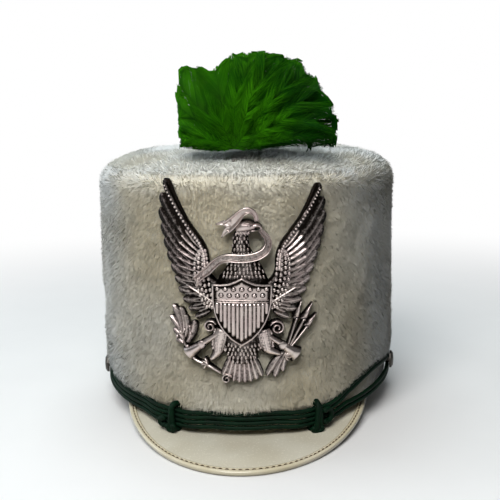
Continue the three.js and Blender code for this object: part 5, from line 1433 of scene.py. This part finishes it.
def plume_feather(gather, tip, bow, width, barbs, seed, fluff, tone, fine, fresh):
    """One feather from the foot to a tip, given in shares of the plume's size."""
    chosen = np.random.default_rng(seed)
    end = PLUME_FOOT + np.asarray(tip) * PLUME_SIZE
    bend = lerp(PLUME_FOOT, end, 0.5) + np.asarray(bow) * PLUME_SIZE
    shaft_t = np.linspace(0, 1, 16)
    shaft = trimmed(bezier(PLUME_FOOT, bend, end, shaft_t), SHAFT_TRIM)
    face = unit(np.array([0.3 * tip[0], -1.0, 0.3]))
    shaft_radius = 0.28 * (1 - 0.85 * shaft_t) + 0.04
    tube(gather, shaft, shaft_radius, 5, np.broadcast_to(face, shaft.shape), depth=0.5, tint=0.3)
    t = np.sort(lerp(0.06, 0.998, chosen.random(barbs)))
    root = trimmed(bezier(PLUME_FOOT, bend, end, t), SHAFT_TRIM)
    along = unit(bezier(PLUME_FOOT, bend, end, t + 0.01) - bezier(PLUME_FOOT, bend, end, t - 0.01))
    side = unit(np.cross(along, face))
    square = np.cross(side, along)
    hand = np.where(np.arange(barbs) % 2, -1.0, 1.0)
    clump = (t * lerp(14, 30, fluff) + 0.3 * hand).astype(int) * 2 + (hand > 0)
    swing = chosen.normal(0, 1, 80)[clump]
    reach = 1.45 * width * PLUME_SIZE * lerp(1, 0.6 + 0.6 * chosen.random(barbs), lerp(0.1, 1, fluff))
    ahead = lerp(1.4, 2.1, t) + swing * lerp(0.05, 0.3, fluff) + lerp(0.02, 0.25, fluff) * chosen.normal(0, 1, barbs)
    heading = side * hand[:, None] + along * ahead[:, None]
    astray = square * 0.6 * chosen.normal(0, 1, (barbs, 1)) + 0.3 * chosen.normal(0, 1, (barbs, 3))
    heading = unit(heading + fluff * astray)
    droop = -square * (lerp(0.1, 0.3, fluff) * reach * (0.7 + 0.6 * chosen.random(barbs)))[:, None]
    loose = 1 - lerp(0.03, 0.08, fluff) * chosen.random(barbs) ** 2 + 0.012 * swing
    middle = trimmed(root + heading * (0.5 * reach)[:, None] + droop * 0.25, loose * 0.99)
    far = trimmed(root + heading * reach[:, None] + along * (0.2 * reach)[:, None] + droop, loose)
    half = along * (fine * (0.7 + 0.6 * chosen.random(barbs)))[:, None]
    end_half = half * lerp(0.8, 0.2, fluff)
    points = np.stack([root - half, root + half, middle - half, middle + half, far - end_half, far + end_half], 1)
    shade = np.clip(tone + 0.22 * np.tanh(swing) + lerp(0.1, 0.32, fluff) * chosen.normal(0, 1, barbs), 0, 1)
    # painted shade: the depth mark darkens barbs near the shaft and the foot of the bunch
    deep = np.stack([t * 0.5, t * 0.5, 0.25 + 0.6 * t, 0.25 + 0.6 * t, 0.45 + 0.55 * t, 0.45 + 0.55 * t], 1) + fresh
    base = np.arange(barbs)[:, None] * 6
    quads = np.concatenate([base + np.array([0, 1, 3, 2]), base + np.array([2, 3, 5, 4])])
    gather.add(points, quads, depth=np.clip(deep, 0, 1).ravel(), tint=np.repeat(shade, 6))


# %%
# The bunch
VANES = [
    # tip across, back, up; bow across, back, up; width
    (-0.56, 0.02, 0.72, -0.04, 0.00, 0.04, 0.26), (-0.38, 0.05, 0.84, -0.04, 0.02, 0.02, 0.24),
    (-0.62, 0.00, 0.52, -0.04, 0.00, 0.06, 0.24), (-0.60, -0.02, 0.30, -0.02, 0.00, 0.08, 0.22),
    (-0.58, -0.04, 0.10, -0.02, -0.02, 0.10, 0.18), (-0.17, 0.02, 0.80, -0.02, 0.00, 0.04, 0.26),
    (-0.03, 0.06, 0.92, -0.02, 0.00, 0.04, 0.26), (0.16, 0.04, 0.94, 0.00, 0.02, 0.06, 0.30),
    (0.34, 0.04, 0.96, 0.02, 0.02, 0.08, 0.32), (0.52, 0.04, 0.88, 0.06, 0.02, 0.10, 0.32),
    (0.70, 0.04, 0.76, 0.08, 0.02, 0.12, 0.32), (0.84, 0.02, 0.60, 0.10, 0.00, 0.16, 0.30),
    (0.94, 0.02, 0.42, 0.10, 0.00, 0.20, 0.28), (0.98, 0.02, 0.22, 0.06, 0.00, 0.24, 0.26),
    (0.94, 0.00, 0.04, 0.02, 0.00, 0.22, 0.22), (0.26, 0.44, 0.78, 0.02, 0.06, 0.10, 0.30),
    (-0.30, 0.36, 0.68, -0.02, 0.06, 0.08, 0.28), (0.62, 0.40, 0.54, 0.04, 0.04, 0.18, 0.30),
    (0.08, 0.66, 0.46, 0.00, 0.06, 0.18, 0.28), (-0.44, 0.34, 0.28, -0.02, 0.02, 0.14, 0.24),
    (0.70, 0.40, 0.20, 0.04, 0.02, 0.22, 0.26), (0.34, 0.62, 0.26, 0.02, 0.04, 0.20, 0.26),
]
DOWN = [
    (0.12, -0.14, 0.70, 0.00, -0.08, 0.06, 0.20), (0.30, -0.16, 0.72, 0.02, -0.08, 0.08, 0.22),
    (0.50, -0.16, 0.62, 0.04, -0.08, 0.12, 0.22), (0.66, -0.14, 0.48, 0.06, -0.06, 0.16, 0.22),
    (0.78, -0.12, 0.30, 0.06, -0.06, 0.20, 0.20), (0.80, -0.10, 0.12, 0.04, -0.06, 0.22, 0.18),
    (-0.20, -0.14, 0.34, -0.02, -0.08, 0.06, 0.16), (-0.36, -0.12, 0.16, -0.02, -0.06, 0.08, 0.15),
    (-0.50, -0.08, 0.05, -0.02, -0.04, 0.06, 0.13), (0.46, 0.30, 0.70, 0.04, 0.08, 0.12, 0.22),
    (0.16, 0.56, 0.62, 0.02, 0.08, 0.14, 0.22), (0.50, 0.52, 0.34, 0.02, 0.06, 0.20, 0.22),
]
WISPS = [
    (0.04, -0.20, 0.56, -0.02, -0.10, 0.04, 0.12), (0.20, -0.22, 0.58, 0.00, -0.12, 0.04, 0.12),
    (0.38, -0.22, 0.50, 0.02, -0.10, 0.06, 0.12), (0.14, -0.24, 0.38, 0.00, -0.10, 0.06, 0.12),
    (-0.10, -0.20, 0.30, -0.02, -0.08, 0.06, 0.11), (0.50, -0.20, 0.32, 0.04, -0.08, 0.08, 0.12),
    (0.32, -0.24, 0.24, 0.04, -0.08, 0.06, 0.12), (-0.26, -0.16, 0.14, -0.02, -0.06, 0.06, 0.11),
    (0.44, -0.20, 0.12, 0.04, -0.06, 0.06, 0.11), (0.10, -0.24, 0.16, 0.00, -0.08, 0.04, 0.11),
    (-0.42, -0.12, 0.10, -0.02, -0.04, 0.04, 0.10), (0.26, -0.22, 0.08, 0.02, -0.06, 0.04, 0.10),
]
KINDS = [
    # name, feathers, barbs, fluff, tone, half width of a barb, lift out of the dark
    ("plume_vanes", VANES, 760, 0.06, 0.5, 0.17, 0.0),
    ("plume_down", DOWN, 680, 0.6, 0.45, 0.16, 0.1),
    # painted highlight: the loose fluff in front has a lighter tone and less painted shade
    ("plume_wisps", WISPS, 480, 1.0, 0.9, 0.19, 0.4),
]
bunches = []
for name, table, barbs, fluff, tone, fine, fresh in KINDS:
    bunch = Gather()
    for i, row in enumerate(table):
        # painted shade: feathers that reach to the right, into the shade, are painted darker
        shade = tone - 0.55 * max(0, row[0])
        plume_feather(bunch, row[:3], row[3:6], row[6], barbs, 100 + 3 * i, fluff, shade, fine, fresh)
    bunches.append(bunch.build(name, ["plume"] if table is VANES else ()))

# %% [markdown]
# Dyed feathers take the green unevenly: the shafts stay darker, and the barbs run from grass green to a bottle
# shade. Painted light adds to this: the fluff in front is painted lighter, the feathers on the right darker, and
# the barbs deep in the bunch, where almost no light comes back, darkest.

# %%
# The feathers' material
graph = Graph("green_feather")
depth, tint = graph.mark("depth"), graph.mark("tint")
blotch = graph.noise(12, 3, 0.6).span(0.3, 0.7)
fresh = graph.mix(tint, colour("022a00"), colour("45980a"))
fresh = graph.mix(blotch * 0.4, fresh, colour("075200"))
feather_material = graph.finish({
    # painted shade: barbs deep in the bunch are painted near black
    "Base Color": graph.mix(depth.span(0.0, 0.7), colour("021200"), fresh),
    "Roughness": tint.span(0, 1, 0.6, 0.75),
    "Specular IOR Level": 0.05,
})
for piece in bunches:
    piece.data.materials.append(feather_material)

# %% [markdown]
# ## What the frame already has
# The shell, its buttons, the nuts and the plume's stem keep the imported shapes. The shell is buckram-lined
# board, so its inside shows a dull woven cream; the buttons are darkened nickel, and the hardware is plain.

# %%
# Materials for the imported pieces
graph = Graph("shell_board")
threads = {"Vector": graph.place, "Scale": 330.0, "Distortion": 0.6}
weave_x = graph.node("ShaderNodeTexWave", {"bands_direction": "Z"}, threads)
weave_y = graph.node("ShaderNodeTexWave", {"bands_direction": "DIAGONAL"}, threads)
weave = weave_x * 0.5 + weave_y * 0.5
stain = graph.noise(38, 3).span(0.35, 0.7)
board_tone = graph.mix(stain, colour("cbc3ae"), colour("b8ad94"))
board = graph.finish({
    "Base Color": graph.mix(weave * 0.35, board_tone, colour("8f866f")),
    "Roughness": 0.75 + weave * 0.1,
    "Normal": graph.bump(weave, 0.25, 0.5),
})
graph = Graph("dark_nickel")
brush = graph.noise(1.2, 3, 0.6, (1, 1, 6))
nickel = graph.finish({
    "Base Color": graph.mix(brush, colour("35322f"), colour("5f5b56")),
    "Metallic": 1.0,
    "Roughness": 0.34 + brush * 0.16,
    "Normal": graph.bump(brush, 0.04, 0.4),
})
graph = Graph("plain_steel")
rub = graph.noise(1.6, 3, 0.6)
steel = graph.finish({
    "Base Color": graph.mix(rub, colour("6d6a66"), colour("a8a49e")),
    "Metallic": 1.0,
    "Roughness": 0.35 + rub * 0.2,
    "Normal": graph.bump(rub, 0.05, 0.4),
})
finishes = {
    "crown_shell": board, "side_button_left": nickel, "side_button_right": nickel,
    "badge_nut_upper": steel, "badge_nut_lower": steel, "plume_stem": steel,
}
for name, look in finishes.items():
    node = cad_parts[name]
    for held in node.material_slots:
        held.link = "OBJECT"
        held.material = look
    print(name, "takes", look.name)
